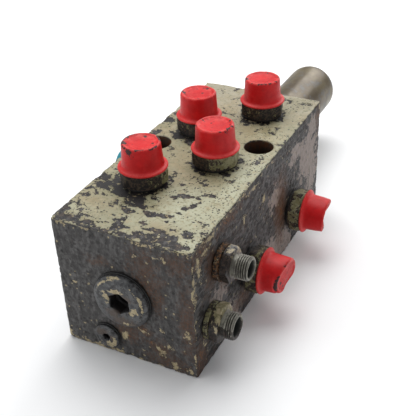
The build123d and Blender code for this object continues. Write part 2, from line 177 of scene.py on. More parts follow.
def outline(corners, step=0.6):
    """Points along a profile of (radius, height, rounding) corners."""
    spots = [np.array(c[:2], float) for c in corners]
    rounds = [c[2] if len(c) > 2 else 0.0 for c in corners]
    path = [spots[0]]
    for before, spot, after, rounding in zip(spots, spots[1:], spots[2:], rounds[1:]):
        if rounding:
            reach_in = min(rounding, 0.48 * np.linalg.norm(spot - before))
            reach_out = min(rounding, 0.48 * np.linalg.norm(after - spot))
            entry = spot + (before - spot) / np.linalg.norm(before - spot) * reach_in
            leave = spot + (after - spot) / np.linalg.norm(after - spot) * reach_out
            for t in np.linspace(0, 1, 6):
                path.append(entry * (1 - t) ** 2 + spot * 2 * t * (1 - t) + leave * t**2)
        else:
            path.append(spot)
    path.append(spots[-1])
    dense = [path[0]]
    for start, end in zip(path, path[1:]):
        parts = max(1, math.ceil(np.linalg.norm(end - start) / step))
        dense.extend(start + (end - start) * k / parts for k in range(1, parts + 1))
    return [(p[0], p[1]) for p in dense]


def spin(name, seat, rows, steps=144, turn=0.0, ring=False, angle=35.0):
    """A closed surface about a seat's axis, from rows of (radius, height), each a number or an array
    over the angle. A ring joins its last row to its first; otherwise both ends meet the axis."""
    around = np.radians(turn) + np.arange(steps) * 2 * math.pi / steps
    radius = np.array([np.broadcast_to(r, steps) for r, _ in rows])
    height = np.array([np.broadcast_to(h, steps) for _, h in rows])
    count = len(rows)
    points = seat.place(radius, np.broadcast_to(around, radius.shape), height).reshape(-1, 3)
    faces = []
    here = np.arange(steps)
    onward = (here + 1) % steps
    for row in range(count if ring else count - 1):
        a, b = row * steps, (row + 1) % count * steps
        faces.extend(zip(a + here, a + onward, b + onward, b + here))
    if not ring:
        ends = [(0, height[0].mean()), (count - 1, height[-1].mean())]
        for row, level in ends:
            points = np.vstack([points, seat.place(0.0, 0.0, level)])
            middle = len(points) - 1
            faces.extend((middle, row * steps + k, row * steps + (k + 1) % steps) for k in range(steps))
    return piece_from(name, points, faces, angle)


def hexagon(flat_radius, steps, corner_round=0.35):
    """Radius over the angle of a hexagon whose first corner is at the first step."""
    degrees = np.arange(steps) * 360 / steps
    radius = flat_radius / np.cos(np.radians(degrees % 60 - 30))
    return np.minimum(radius, flat_radius / math.cos(math.pi / 6) - corner_round)


def put(piece, node, material):
    """The piece stands for a CAD node and moves with that node's body."""
    piece.data.materials.append(material)
    body = next(b for b, nodes in frame["record"]["behaviour"]["bodies"].items() if node in nodes)
    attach(piece, body)
    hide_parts(node)


# ---------------------------------------------------------------- material nodes


class Finish:
    """A material and short ways to add nodes to it. Values are numbers, colours or other outputs."""

    def __init__(self, name):
        self.material = bpy.data.materials.new(name)
        self.material.use_nodes = True
        self.tree = self.material.node_tree
        self.shader = self.tree.nodes["Principled BSDF"]
        self.spot = self.tree.nodes.new("ShaderNodeTexCoord").outputs["Object"]

    def join(self, socket, value):
        if isinstance(value, bpy.types.NodeSocket):
            self.tree.links.new(value, socket)
        elif hasattr(value, "__len__") and socket.type == "RGBA":
            socket.default_value = (*value, 1.0)
        else:
            socket.default_value = value

    def set(self, **values):
        for name, value in values.items():
            self.join(self.shader.inputs[name.replace("_", " ")], value)

    def math(self, operation, *values):
        made = self.tree.nodes.new("ShaderNodeMath")
        made.operation = operation
        for socket, value in zip(made.inputs, values):
            self.join(socket, value)
        return made.outputs[0]

    def add(self, first, second):
        return self.math("ADD", first, second)

    def less(self, first, second):
        """First minus second."""
        return self.math("SUBTRACT", first, second)

    def times(self, first, second):
        return self.math("MULTIPLY", first, second)

    def most(self, first, second):
        """The larger of the two."""
        return self.math("MAXIMUM", first, second)

    def noise(self, size, detail=4.0, rough=0.6, stretch=(1, 1, 1), lean=0.0):
        """Noise from 0 to 1 with blots of that size in mm, drawn out along an axis by stretch."""
        mapping = self.tree.nodes.new("ShaderNodeMapping")
        mapping.inputs["Scale"].default_value = [1 / s for s in stretch]
        mapping.inputs["Rotation"].default_value = (0, math.radians(lean), 0)
        self.join(mapping.inputs["Vector"], self.spot)
        made = self.tree.nodes.new("ShaderNodeTexNoise")
        made.inputs["Scale"].default_value = 1 / (size * MM)
        made.inputs["Detail"].default_value = detail
        made.inputs["Roughness"].default_value = rough
        self.join(made.inputs["Vector"], mapping.outputs[0])
        return made.outputs["Fac"]

    def cells(self, size):
        """Distance from the nearest of scattered points, 0 to about 1, for grains of that size in mm."""
        made = self.tree.nodes.new("ShaderNodeTexVoronoi")
        made.inputs["Scale"].default_value = 1 / (size * MM)
        self.join(made.inputs["Vector"], self.spot)
        return made.outputs["Distance"]

    def span(self, value, low, high, new_low=0.0, new_high=1.0):
        """An S-curve from new_low at low to new_high at high."""
        made = self.tree.nodes.new("ShaderNodeMapRange")
        made.interpolation_type = "SMOOTHSTEP"
        limits = {"From Min": low, "From Max": high, "To Min": new_low, "To Max": new_high}
        for socket, number in limits.items():
            made.inputs[socket].default_value = number
        self.join(made.inputs["Value"], value)
        return made.outputs["Result"]

    def field(self, name):
        made = self.tree.nodes.new("ShaderNodeAttribute")
        made.attribute_name = name
        return made.outputs["Fac"]

    def blend(self, share, first, second):
        """First colour at share 0, second at share 1."""
        made = self.tree.nodes.new("ShaderNodeMix")
        made.data_type = "RGBA"
        self.join(made.inputs[0], share)
        self.join(made.inputs[6], first)
        self.join(made.inputs[7], second)
        return made.outputs[2]

    def mix(self, share, first, second):
        """First value at share 0, second at share 1."""
        made = self.tree.nodes.new("ShaderNodeMix")
        for socket, value in zip(made.inputs[0:1] + made.inputs[2:4], (share, first, second)):
            self.join(socket, value)
        return made.outputs[0]

    def bump(self, height, depth):
        """Bump in mm of depth for a height from 0 to 1."""
        made = self.tree.nodes.new("ShaderNodeBump")
        made.inputs["Distance"].default_value = depth * MM
        self.join(made.inputs["Height"], height)
        self.join(self.shader.inputs["Normal"], made.outputs[0])


SAGE = (0.285, 0.270, 0.172)
# Paler sage for painted sheen, where the light glances off the top.
SAGE_PAINTED_SHEEN = (0.43, 0.435, 0.31)
BEIGE = (0.330, 0.300, 0.225)
TAN = (0.275, 0.225, 0.125)
CREAM = (0.40, 0.33, 0.20)
OLIVE = (0.20, 0.185, 0.095)
# Black of soot, used also for painted shade in the hex sockets and around the capped ports.
SOOT_AND_SHADE_BLACK = (0.010, 0.008, 0.008)
CHARCOAL = (0.034, 0.032, 0.031)
ASH = (0.122, 0.118, 0.114)
UMBER = (0.060, 0.040, 0.028)
RUST = (0.26, 0.10, 0.026)
RUST_DARK = (0.105, 0.042, 0.018)
PINK_GREY = (0.29, 0.245, 0.218)
RUST_BROWN = (0.17, 0.088, 0.050)
# Near black for painted shade deep inside the holes.
HOLE_SHADE_BLACK = (0.002, 0.0015, 0.001)


def top_colour(f, fine, medium, ragged):
    """Sage paint with stains, specks and painted sheen, and where it is gone, grimy steel; also how bare it
    is.
    """
    bare = f.span(f.add(f.field("loss"), ragged), 0.48, 0.53)
    grain = f.add(f.cells(2.1), f.times(fine, 0.5))
    grain = f.less(grain, f.times(f.field("speckle"), 0.34))
    dots = f.add(f.cells(5.3), f.times(fine, 0.35))
    speckles = f.most(f.span(grain, 0.25, 0.18), f.span(dots, 0.32, 0.27))
    dark = f.most(bare, speckles)
    # Darker grime patches; around the capped ports this is partly painted shade.
    black = f.span(f.add(f.field("soot_and_port_shade"), ragged), 0.30, 0.55, 0.0, 0.9)

    # Painted sheen: the paint turns paler sage where the light glances off the top.
    paint = f.blend(f.field("painted_sheen"), SAGE, SAGE_PAINTED_SHEEN)
    paint = f.blend(f.field("beige"), paint, BEIGE)
    paint = f.blend(f.times(f.field("stain"), f.span(medium, 0.3, 0.6, 0.5, 1.0)), paint, TAN)
    paint = f.blend(f.span(f.noise(30.0, 4), 0.50, 0.64, 0.0, 0.35), paint, TAN)
    paint = f.blend(f.span(f.noise(2.4, 3, 0.6), 0.52, 0.66, 0.0, 0.8), paint, OLIVE)
    paint = f.blend(f.span(f.noise(3.2, 3, 0.6), 0.54, 0.68, 0.0, 0.5), paint, CREAM)
    paint = f.blend(f.span(f.noise(9.0, 5, 0.65), 0.50, 0.66, 0.0, 0.45), paint, TAN)
    paint = f.blend(f.times(black, 0.55), paint, OLIVE)

    grit = f.noise(2.6, 2.5, 0.5)
    steel = f.blend(f.span(medium, 0.42, 0.60), SOOT_AND_SHADE_BLACK, f.blend(fine, CHARCOAL, ASH))
    steel = f.blend(f.span(f.noise(6.0, 5), 0.48, 0.62, 0.0, 0.65), steel, UMBER)
    steel = f.blend(f.times(black, f.span(grit, 0.62, 0.50)), steel, SOOT_AND_SHADE_BLACK)
    steel = f.blend(f.span(grit, 0.50, 0.55, 0.0, 0.9), steel, SOOT_AND_SHADE_BLACK)
    steel = f.blend(f.span(f.noise(2.3, 2.5, 0.55), 0.63, 0.66, 0.0, 0.85), steel, TAN)
    return f.blend(dark, paint, steel), dark


def flank_colour(f, fine, medium, ragged, texture):
    """Charcoal grime with smoother film, rust and remains of paint."""
    grime = f.blend(f.span(texture, 0.40, 0.66, 0.16, 0.76), CHARCOAL, ASH)
    sockets = f.add(f.cells(4.2), f.times(medium, 0.6))
    grime = f.blend(f.span(sockets, 0.58, 0.48, 0.0, 0.65), grime, SOOT_AND_SHADE_BLACK)

    runs = f.noise(3.4, 5, 0.7, stretch=(1, 1, 5.0))
    film = f.blend(f.span(runs, 0.58, 0.66, 0.0, 0.6), PINK_GREY, CHARCOAL)
    film = f.blend(f.span(medium, 0.54, 0.68, 0.0, 0.4), film, UMBER)
    cleaner = f.span(f.add(f.field("smooth"), f.times(ragged, 0.7)), 0.44, 0.58)
    specks = f.span(f.noise(2.7, 2.5, 0.5, stretch=(1, 2.0, 1)), 0.51, 0.55, 0.0, 0.9)
    specked = f.times(specks, f.less(1.0, cleaner))
    specked = f.times(specked, f.less(1.0, f.times(f.field("end"), 0.55)))
    grime = f.blend(specked, f.blend(cleaner, grime, film), SOOT_AND_SHADE_BLACK)

    halo = f.times(f.field("stain"), f.span(medium, 0.34, 0.62, 1.0, 0.65))
    grime = f.blend(halo, grime, RUST_BROWN)
    warm = f.add(f.field("rust"), ragged)
    brown = f.blend(f.span(fine, 0.45, 0.6), UMBER, RUST_DARK)
    grime = f.blend(f.span(warm, 0.15, 0.6, 0.0, 0.75), grime, brown)
    flecks = f.times(f.span(warm, 0.70, 0.86), f.span(fine, 0.44, 0.54))
    grime = f.blend(flecks, grime, f.blend(medium, RUST_DARK, RUST))

    flakes = f.add(f.field("cream"), f.times(ragged, 2.6))
    crumbs = f.add(f.cells(6.5), f.times(fine, 0.4))
    remains = f.most(f.span(flakes, 0.64, 0.70), f.span(crumbs, 0.34, 0.29, 0.0, 0.8))
    return f.blend(remains, grime, f.blend(f.span(medium, 0.4, 0.6), TAN, CREAM))


def block_finish():
    """Sage paint with painted sheen on top, chipped to grimy steel; charcoal grime with paint remains on the
    sides; painted shade deep in the holes.
    """
    f = Finish("block_worn_paint")
    fine = f.noise(1.3, 5, 0.72)
    medium = f.noise(3.6, 6, 0.70)
    ragged = f.less(f.add(f.times(fine, 0.7), f.times(medium, 0.9)), 0.80)
    slant = f.noise(2.5, 4, 0.62, stretch=(1.0, 1.0, 2.8), lean=48)
    granular = f.noise(3.0, 3, 0.6, stretch=(1, 2.2, 1))
    texture = f.mix(f.field("end"), granular, slant)

    top, dark = top_colour(f, fine, medium, ragged)
    flank = flank_colour(f, fine, medium, ragged, texture)
    inside = f.blend(f.span(medium, 0.40, 0.60), RUST_DARK, UMBER)
    colour = f.blend(f.field("wall"), f.blend(f.field("top"), flank, top), inside)
    # Painted shade: the holes turn near black the deeper they go.
    f.set(Base_Color=f.blend(f.field("hole_shade"), colour, HOLE_SHADE_BLACK))
    painted = f.times(f.field("top"), f.less(1.0, dark))
    f.set(Roughness=f.less(f.span(medium, 0.3, 0.7, 0.54, 0.70), f.times(painted, 0.14)))
    relief = f.less(f.times(fine, 0.5), f.times(dark, 0.5))
    relief = f.add(relief, f.times(texture, f.less(1.7, f.field("top"))))
    f.bump(relief, 0.42)
    f.shader.inputs["Specular IOR Level"].default_value = 0.35
    return f.material


def fitting_finish(name, worn):
    """Olive overspray on a hexagon; worn, from 0 to 1, is how much of it is black grime."""
    f = Finish(name)
    fine = f.noise(1.6, 3, 0.6)
    medium = f.noise(4.6, 4, 0.62)
    paint = f.blend(f.span(medium, 0.42, 0.58), (0.19, 0.175, 0.085), (0.30, 0.285, 0.17))
    paint = f.blend(f.span(f.noise(2.6, 3, 0.6), 0.52, 0.62, 0.0, 0.7), paint, (0.11, 0.09, 0.04))
    dark = f.blend(f.span(fine, 0.46, 0.60), SOOT_AND_SHADE_BLACK, UMBER)
    dark = f.blend(f.span(f.noise(2.6, 5), 0.54, 0.66, 0.0, 0.5), dark, (0.11, 0.09, 0.055))
    ragged = f.add(f.times(fine, 0.7), f.times(medium, 1.3))
    gone = f.add(f.less(ragged, 1.0), f.times(f.field("grime"), 0.5))
    lost = f.span(f.add(gone, worn), 0.49, 0.54)
    f.set(Base_Color=f.blend(lost, paint, dark))
    f.set(Roughness=f.span(lost, 0.0, 1.0, 0.42, 0.6))
    f.bump(f.less(f.times(fine, 0.5), f.times(lost, 0.6)), 0.26)
    f.shader.inputs["Specular IOR Level"].default_value = 0.35
    return f.material


def thread_finish(name, hexagon_paint, worn, coated):
    """Painted, chipped hexagon with a stained thread and painted shade deep in its bore; attribute bare is 1
    on the thread.
    """
    f = Finish(name)
    fine = f.noise(1.0, 3, 0.6)
    medium = f.noise(3.4, 4, 0.6)
    dark = f.blend(f.span(fine, 0.45, 0.62), SOOT_AND_SHADE_BLACK, UMBER)
    ragged = f.add(f.times(fine, 0.4), f.times(medium, 1.3))
    gone = f.add(f.add(ragged, f.times(f.field("grime"), 0.5)), worn - 0.85)
    lost = f.span(gone, 0.49, 0.54)
    paint = f.blend(f.span(medium, 0.40, 0.56), CREAM, hexagon_paint)
    steel = f.blend(f.span(f.noise(2.5, 4), 0.4, 0.62), (0.30, 0.29, 0.24), (0.16, 0.15, 0.125))
    steel = f.blend(f.times(f.span(gone, 0.56, 0.62), coated), steel, dark)
    steel = f.blend(f.field("groove"), steel, (0.025, 0.022, 0.018))
    colour = f.blend(f.field("bare"), f.blend(lost, paint, dark), steel)
    # Painted shade: the bore turns near black further inside.
    f.set(Base_Color=f.blend(f.field("recess_shade"), colour, (0.012, 0.014, 0.012)))
    f.set(Metallic=f.times(f.field("bare"), 0.35))
    f.set(Roughness=f.span(medium, 0.3, 0.7, 0.36, 0.55))
    f.bump(f.less(f.times(fine, 0.4), f.times(lost, 0.5)), 0.16)
    return f.material


SOOT_RED = (0.016, 0.008, 0.008)
SOOT_TEAL = (0.015, 0.02, 0.02)


def cap_finish(name, skin, shade, scuffed, dirt_colour):
    """Soft moulded plastic, scuffed and specked; attribute dirt gathers grime."""
    f = Finish(name)
    broad = f.noise(12.0, 4)
    fine = f.noise(1.2, 5, 0.75)
    medium = f.noise(4.0, 5, 0.7)
    colour = f.blend(f.span(broad, 0.38, 0.62), skin, shade)
    rubbed = f.times(f.span(medium, 0.46, 0.60, 0.0, 0.75), f.field("scuff"))
    colour = f.blend(rubbed, colour, scuffed)
    colour = f.blend(f.times(f.field("edge"), f.span(fine, 0.40, 0.55, 0.1, 0.6)), colour, scuffed)
    dusty = f.times(f.span(fine, 0.53, 0.62, 0.0, 0.5), f.field("scuff"))
    colour = f.blend(dusty, colour, tuple(0.35 * c + 0.01 for c in skin))
    specks = f.span(f.add(f.cells(4.6), f.times(fine, 0.4)), 0.40, 0.35, 0.0, 0.92)
    smear = f.add(f.field("dirt"), f.times(f.less(fine, 0.5), 1.6))
    smear = f.add(smear, f.times(f.less(medium, 0.5), 1.2))
    grime = f.most(f.times(specks, f.field("scuff")), f.span(smear, 0.50, 0.60, 0.0, 0.95))
    f.set(Base_Color=f.blend(grime, colour, dirt_colour))
    f.set(Roughness=f.span(fine, 0.3, 0.7, 0.38, 0.54))
    relief = f.add(f.noise(2.6, 4), f.times(fine, 0.4))
    f.bump(f.less(relief, f.times(grime, 0.4)), 0.14)
    f.shader.inputs["Specular IOR Level"].default_value = 0.28
    f.shader.inputs["Subsurface Weight"].default_value = 0.06
    f.shader.inputs["Subsurface Radius"].default_value = (1.0, 0.15, 0.1)
    f.shader.inputs["Subsurface Scale"].default_value = 0.6 * MM
    return f.material


def metal_finish(name, light, dark, roughness, metallic=0.8, size=3.0, stretch=(1, 1, 1), depth=0.05):
    """Metal that varies between two colours, with fine relief."""
    f = Finish(name)
    blots = f.noise(size, 5, 0.65, stretch=stretch)
    fine = f.noise(size / 6, 3)
    colour = f.blend(f.span(blots, 0.35, 0.65), light, dark)
    f.set(Base_Color=f.blend(f.span(fine, 0.55, 0.75, 0.0, 0.6), colour, tuple(0.4 * c for c in dark)))
    f.set(Roughness=f.span(blots, 0.3, 0.7, roughness, roughness + 0.14))
    f.shader.inputs["Metallic"].default_value = metallic
    f.bump(fine, depth)
    return f.material


def rubber_finish():
    f = Finish("black_rubber")
    dust = f.span(f.noise(1.2, 4), 0.5, 0.75, 0.0, 0.5)
    f.set(Base_Color=f.blend(dust, (0.010, 0.010, 0.010), (0.06, 0.05, 0.042)))
    f.set(Roughness=f.span(f.noise(3.0, 3), 0.3, 0.7, 0.45, 0.7))
    f.bump(f.noise(0.7, 3), 0.06)
    return f.material


def plug_finish():
    """Grimy end plug: slate-grey, with cream paint left on edges, rust below and painted shade in its socket.
    """
    f = Finish("end_plug_worn")
    fine = f.noise(1.6, 3, 0.62)
    medium = f.noise(3.6, 4, 0.62)
    grey = f.blend(f.span(medium, 0.40, 0.60), (0.030, 0.031, 0.033), (0.085, 0.086, 0.086))
    grey = f.blend(f.span(f.noise(2.6, 3, 0.6), 0.53, 0.58, 0.0, 0.9), grey, SOOT_AND_SHADE_BLACK)
    ragged = f.less(f.add(f.times(fine, 0.9), f.times(medium, 1.1)), 1.0)
    grey = f.blend(f.span(f.add(f.field("rust"), ragged), 0.25, 0.65, 0.0, 0.85), grey, UMBER)
    left = f.span(f.add(f.field("cream"), f.times(ragged, 1.5)), 0.50, 0.58)
    colour = f.blend(left, grey, f.blend(f.span(fine, 0.4, 0.6), TAN, CREAM))
    # Painted shade: the hex socket turns black further inside.
    f.set(Base_Color=f.blend(f.field("recess_shade"), colour, SOOT_AND_SHADE_BLACK))
    f.set(Roughness=f.span(medium, 0.3, 0.7, 0.36, 0.56))
    f.bump(f.add(fine, f.times(left, 0.5)), 0.26)
    return f.material


def tube_finish():
    """Smooth brown-grey film over drawn steel."""
    f = Finish("bronze_grey_film")
    drift = f.noise(30.0, 4, 0.6, stretch=(1, 2.2, 1))
    medium = f.noise(7.0, 5)
    fine = f.noise(0.9, 3)
    film = f.blend(f.span(drift, 0.40, 0.60), (0.085, 0.060, 0.028), (0.15, 0.118, 0.062))
    film = f.blend(f.span(medium, 0.50, 0.66, 0.0, 0.6), film, (0.13, 0.135, 0.145))
    film = f.blend(f.span(f.noise(3.0, 5, 0.75), 0.54, 0.68, 0.0, 0.7), film, (0.045, 0.032, 0.018))
    f.set(Base_Color=film)
    f.shader.inputs["Metallic"].default_value = 0.35
    f.set(Roughness=f.span(medium, 0.3, 0.7, 0.30, 0.46))
    f.bump(f.add(f.times(medium, 0.8), f.times(fine, 0.25)), 0.12)
    return f.material


def rusty_finish():
    f = Finish("rusted_ring")
    fine = f.noise(1.6, 4, 0.65)
    medium = f.noise(3.6, 4, 0.6)
    rust = f.blend(f.span(medium, 0.42, 0.58), (0.17, 0.078, 0.026), (0.065, 0.032, 0.014))
    rust = f.blend(f.span(fine, 0.47, 0.53, 0.0, 0.92), rust, SOOT_AND_SHADE_BLACK)
    rust = f.blend(f.span(f.noise(2.2, 3), 0.62, 0.66, 0.0, 0.85), rust, CREAM)
    f.set(Base_Color=rust)
    f.set(Roughness=f.span(fine, 0.3, 0.7, 0.65, 0.9))
    f.bump(fine, 0.35)
    return f.material


# ---------------------------------------------------------------- valve block

LATTICE = 1.22
WORN_EDGE = 1.0
WORN_CORNER = 3.4

# Bare spots in the paint on top, as (x, y, half length, half width, lean in degrees).
TOP_CHIPS = [
    (-41, -107, 9, 4.6, 4), (-47, -99, 3.4, 5, 0), (-48, -91, 3.2, 1.5, 30), (-45, -79.5, 3, 2.4, 0),
    (-45.5, -70, 4, 2, 20), (-38.5, -75, 1.8, 2.8, 0), (-42, -63, 6.6, 3.6, 12), (-44, -55, 5, 3.2, 0),
    (-36, -67, 2.5, 2, 0), (-32, -58, 6, 9, 20), (-24, -67, 10, 5, -12), (-11, -71, 10, 5.5, -25),
    (-4, -76, 5, 3.5, 0), (-9.5, -85, 7, 2.6, -10), (6, -83, 5, 3, -18), (15.5, -82.5, 6.5, 2.5, 8),
    (-21, -85, 1.8, 1.2, 0), (-9, -96, 4, 2, 0), (-7.5, -103, 1.9, 4.5, 0), (0, -100.5, 5, 0.9, -8),
    (2, -109.5, 9, 3, 0), (10, -104.5, 5, 2.2, 20), (14, -97.5, 5, 1.7, 15), (20.5, -97, 5, 2.3, -8),
    (25.5, -99.5, 3, 1.8, -40), (6.5, -92.5, 3.2, 1.8, 30), (21, -103, 4, 1.3, -10),
    (30, -101, 4.4, 3, 0), (38.5, -94, 4, 3.2, 50), (27, -94, 2, 1.3, 0), (13, -57.5, 3.2, 2.7, 0),
    (18.5, -55.4, 5, 2, 8), (25, -54.6, 3.5, 2.1, -15), (28.5, -61.5, 2.4, 1.4, 60),
    (27.3, -65, 1.2, 2.4, 0), (25.3, -68.6, 3.6, 1.5, 38), (7.5, -44, 2.1, 1.4, 0),
    (-1.5, -37, 2, 1.3, 30), (1.5, -50.5, 2.2, 1.4, 0), (23, -39.5, 2.4, 1.3, 0), (23, -76, 3, 0.8, 0),
    (34.5, -81.5, 1.6, 1, 0), (40, -79, 3, 1.1, 0), (20.5, -87, 1.2, 0.9, 0), (-24, -107, 6, 2.6, -5),
    (-16, -102, 6, 0.8, 30), (34, -108, 5, 1.3, -20), (42, -107, 3, 2, 30), (7, -18, 5, 3.6, -12),
    (13.5, -23.5, 6.5, 2.6, -12), (30, -20, 3.6, 2.6, 20), (-27, 17, 7, 3.6, -10), (-14, 12, 4, 5, 0),
    (-45, 36, 4.5, 4.5, 0), (35.5, 47, 4, 1.5, -35), (28, 7, 1.4, 1.6, 0), (14, -34, 1.2, 0.9, 0),
    (20, -33.5, 2.6, 1, 10), (12, 52, 2.2, 1.6, 0),
]
# Where small specks crowd together on top, as (x, y, half length, half width, lean).
TOP_GRAINS = [
    (-16.5, -55, 24, 17, 0), (35, -105, 16, 8, 0), (-35, -96, 14, 8, 0), (42, 0, 8, 26, 0),
    (36, 96, 12, 12, 0), (30, 84, 7, 9, 0), (-40, 30, 12, 14, 0), (4, 62, 10, 16, 0), (42, -50, 9, 40, 0),
    (20, -40, 16, 12, 0), (-46, -62, 7, 24, 0), (16, -18, 16, 8, 0), (-22, 20, 14, 7, 0),
    (34, 44, 10, 8, 0),
]
TOP_STAINS = [
    (-2, -22, 16, 22), (18, 42, 22, 12), (-36, -84, 13, 8), (24, -98, 10, 6), (-10, 62, 12, 16),
    (-40, 20, 8, 20),
]
TOP_SOOT = [
    (-24, -66, 22, 10, -14), (-3, -72, 9, 6, -20), (-36, -57, 9, 11, 0), (10, -20, 11, 6, -12),
    (-24, 18, 9, 6, 0), (26, 86, 12, 7, 0), (36, 98, 11, 9, 0), (-44, 34, 7, 9, 0), (34, 46, 6, 4, -35),
]
# Painted sheen on top, where the light glances off the paint, as (x, y, half length, half width).
TOP_PAINTED_SHEEN = [
    (22, -72, 20, 22), (42, -30, 8, 50), (36, -100, 14, 9), (-40, -94, 10, 6), (30, 40, 14, 10),
]
# Paint and rust on the end face, as (x, z, half length, half width, lean), and on the pressure side,
# as (y, z, half length, half width, lean). The halo is beside the rear pressure port.
END_CREAM = [
    (-48, 4, 4, 5, 0), (-25, 13, 1.2, 2, 20), (-35, 16.5, 1, 1.5, 0), (-20, 1, 20, 2.0, -2),
    (8, 0.5, 16, 1.6, 0), (35, 4, 3.4, 3.2, 30), (46.5, 3, 4, 3.4, 0), (10.5, 87, 1.3, 1.6, 0),
    (24, 89.5, 4.4, 1.3, -8), (31, 89, 1.4, 1.8, 0), (-2.5, 17, 2.2, 4.5, -25), (12, 27.5, 3, 1.6, 0),
    (31, 20, 2.6, 2.2, 30), (24.5, 14, 3.4, 3, 0), (49.3, 68, 0.8, 5, 0), (49.5, 40, 0.7, 9, 0),
    (49.0, 16, 0.9, 7, 0), (44.5, 33, 2.6, 3.4, 0), (-37.5, 51, 1.6, 1.3, 0), (18.5, 18, 0.9, 0.9, 0),
    (11, 10, 0.8, 1.1, 0), (-22, 97, 4, 1.2, 0), (-40, 96.6, 4, 1.4, 0), (17, 96.4, 9, 1.2, 0),
    (38, 96, 9, 1.6, 0), (25, 33, 1.4, 1.4, 0),
]
END_RUST = [
    (0, 22, 13, 8, 20), (12, 28, 7, 5, 0), (24, 15, 9, 8, 0), (20, 66, 9, 11, -45), (24, 56, 5, 12, 0),
    (46, 45, 7, 32, 0), (17, 80, 10, 14, 0), (40, 88, 10, 10, 0), (-15, 74, 9, 3, 0), (30, 6, 18, 6, 0),
]
END_ORANGE = [
    (12, 28, 4.0, 1.8, 0), (24, 15, 4.5, 4.0, 20), (17, 19, 2.4, 1.4, 0), (-1, 19, 3.0, 2.4, 0),
    (17, 60, 2, 5, 30),
]
SIDE_CREAM = [
    (-110.8, 74, 1.6, 14, 0), (-110.8, 40, 1.0, 8, 0), (-108, 62, 1.0, 5, 0), (-104, 84, 2.5, 12, 10),
    (-88, 95, 12, 1.6, 0), (-50, 96, 18, 1.4, 0), (-20, 92, 9, 1.6, 0), (-86, 90, 5, 2, 0),
    (5, 95, 10, 1.3, 0), (-94, 88, 4, 3, 0), (-36, 78, 3, 2.4, 0), (-4, 74, 3, 5, 0),
    (-100, 22, 2.4, 4, 0), (110, 94, 3, 3, 0),
]
SIDE_RUST = [
    (30, 42, 7.0, 21, 0), (31, 42, 4.5, 18, 0), (-88, 70, 7, 14, 0), (-106, 12, 9, 16, 0),
    (-80, 20, 10, 8, 0), (-70, 58, 6, 14, 0), (-100, 92, 14, 7, 0), (-60, 92, 20, 4, 0),
    (108, 88, 6, 12, 0), (-40, 15, 14, 7, 0),
]
SIDE_HALO = [(29, 46, 8, 22, 0), (31, 50, 6, 16, 0)]
SIDE_SMOOTH = [
    (25, 9, 25, 19, 0), (8, 20, 12, 12, 0), (38, 6, 14, 14, 0), (86, 62, 20, 20, 0), (60, 78, 14, 8, 0),
    (98, 84, 14, 8, 0), (-78, 42, 12, 9, 0), (-55, 12, 14, 9, 0), (98, 40, 14, 16, 0), (20, 62, 12, 9, 0),
    (-20, 30, 9, 10, 0),
]


def edge_ticks(low, high, low_reach):
    """Lattice lines across a face: close together where its edges round over, even between."""
    near = np.array([0.0, 0.3, 0.65, 1.1, 1.7])
    start = np.arange(0, 7) * 0.58 if low_reach > 2 else near
    first, last = low + start[-1], high - near[-1]
    middle = np.linspace(first, last, round((last - first) / LATTICE) + 1)
    return np.concatenate([low + start[:-1], middle, high - near[-2::-1]])


def inner_walls():
    """The block's bores, galleries and drillings from its CAD node: points in mm and triangles."""
    work = bmesh.new()
    work.from_mesh(frame["nodes"]["valve_body"].data)
    bmesh.ops.remove_doubles(work, verts=work.verts, dist=1e-7)
    outer = []
    for face in work.faces:
        middle = np.array(face.calc_center_median()) / MM
        depth = np.sort(np.minimum(middle - BLOCK_LOW, BLOCK_HIGH - middle))
        flush = depth[0] < 0.05 and max(abs(c) for c in face.normal) > 0.999
        if flush or (depth[0] < 1.6 and depth[1] < 3.7):
            outer.append(face)
    bmesh.ops.delete(work, geom=outer, context="FACES")
    for inset in (0.5, 1.5, 3, 6, 10, 16, 26):
        for level in (TOP - inset, BLOCK_LOW[2] + inset):
            everything = work.verts[:] + work.edges[:] + work.faces[:]
            bmesh.ops.bisect_plane(work, geom=everything, plane_co=(0, 0, level * MM), plane_no=(0, 0, 1))
    bmesh.ops.triangulate(work, faces=work.faces)
    loose = [v for v in work.verts if not v.link_faces]
    bmesh.ops.delete(work, geom=loose, context="VERTS")
    work.verts.index_update()
    points = np.array([v.co[:] for v in work.verts]) / MM
    faces = [[v.index for v in f.verts] for f in work.faces]
    rims = [(e.verts[0].index, e.verts[1].index) for e in work.edges if len(e.link_faces) == 1]
    work.free()
    return points, faces, rims


def face_skin(across, along, level, axis, walls, rims):
    """One flat side of the block: a lattice that meets the rim of each hole. Axis is its normal's."""
    others = [k for k in range(3) if k != axis]
    on_plane = [pair for pair in rims if abs(walls[pair[0]][axis] - level) < 0.02]
    used = sorted({k for pair in on_plane for k in pair})
    rim_flat = walls[used][:, others] if used else np.zeros((0, 2))
    grid = np.stack(np.meshgrid(across, along, indexing="ij"), -1).reshape(-1, 2)
    circles = rim_circles(rim_flat, [(used.index(a), used.index(b)) for a, b in on_plane])
    for x, y, radius in circles:
        grid = grid[np.hypot(grid[:, 0] - x, grid[:, 1] - y) > radius + 0.5 * LATTICE]
    flat = np.vstack([rim_flat, grid])
    edges = [(used.index(a), used.index(b)) for a, b in on_plane]
    verts, _, faces, _, _, _ = delaunay_2d_cdt([Vector(p) for p in flat], edges, [], 0, 1e-5)
    verts = np.array([v[:] for v in verts])
    kept = []
    for face in faces:
        middle = verts[list(face)].mean(0)
        if all(math.hypot(middle[0] - x, middle[1] - y) > radius - 1e-3 for x, y, radius in circles):
            kept.append(face)
    points = np.zeros((len(verts), 3))
    points[:, others] = verts
    points[:, axis] = level
    return points, kept, [(axis, level, *circle) for circle in circles]


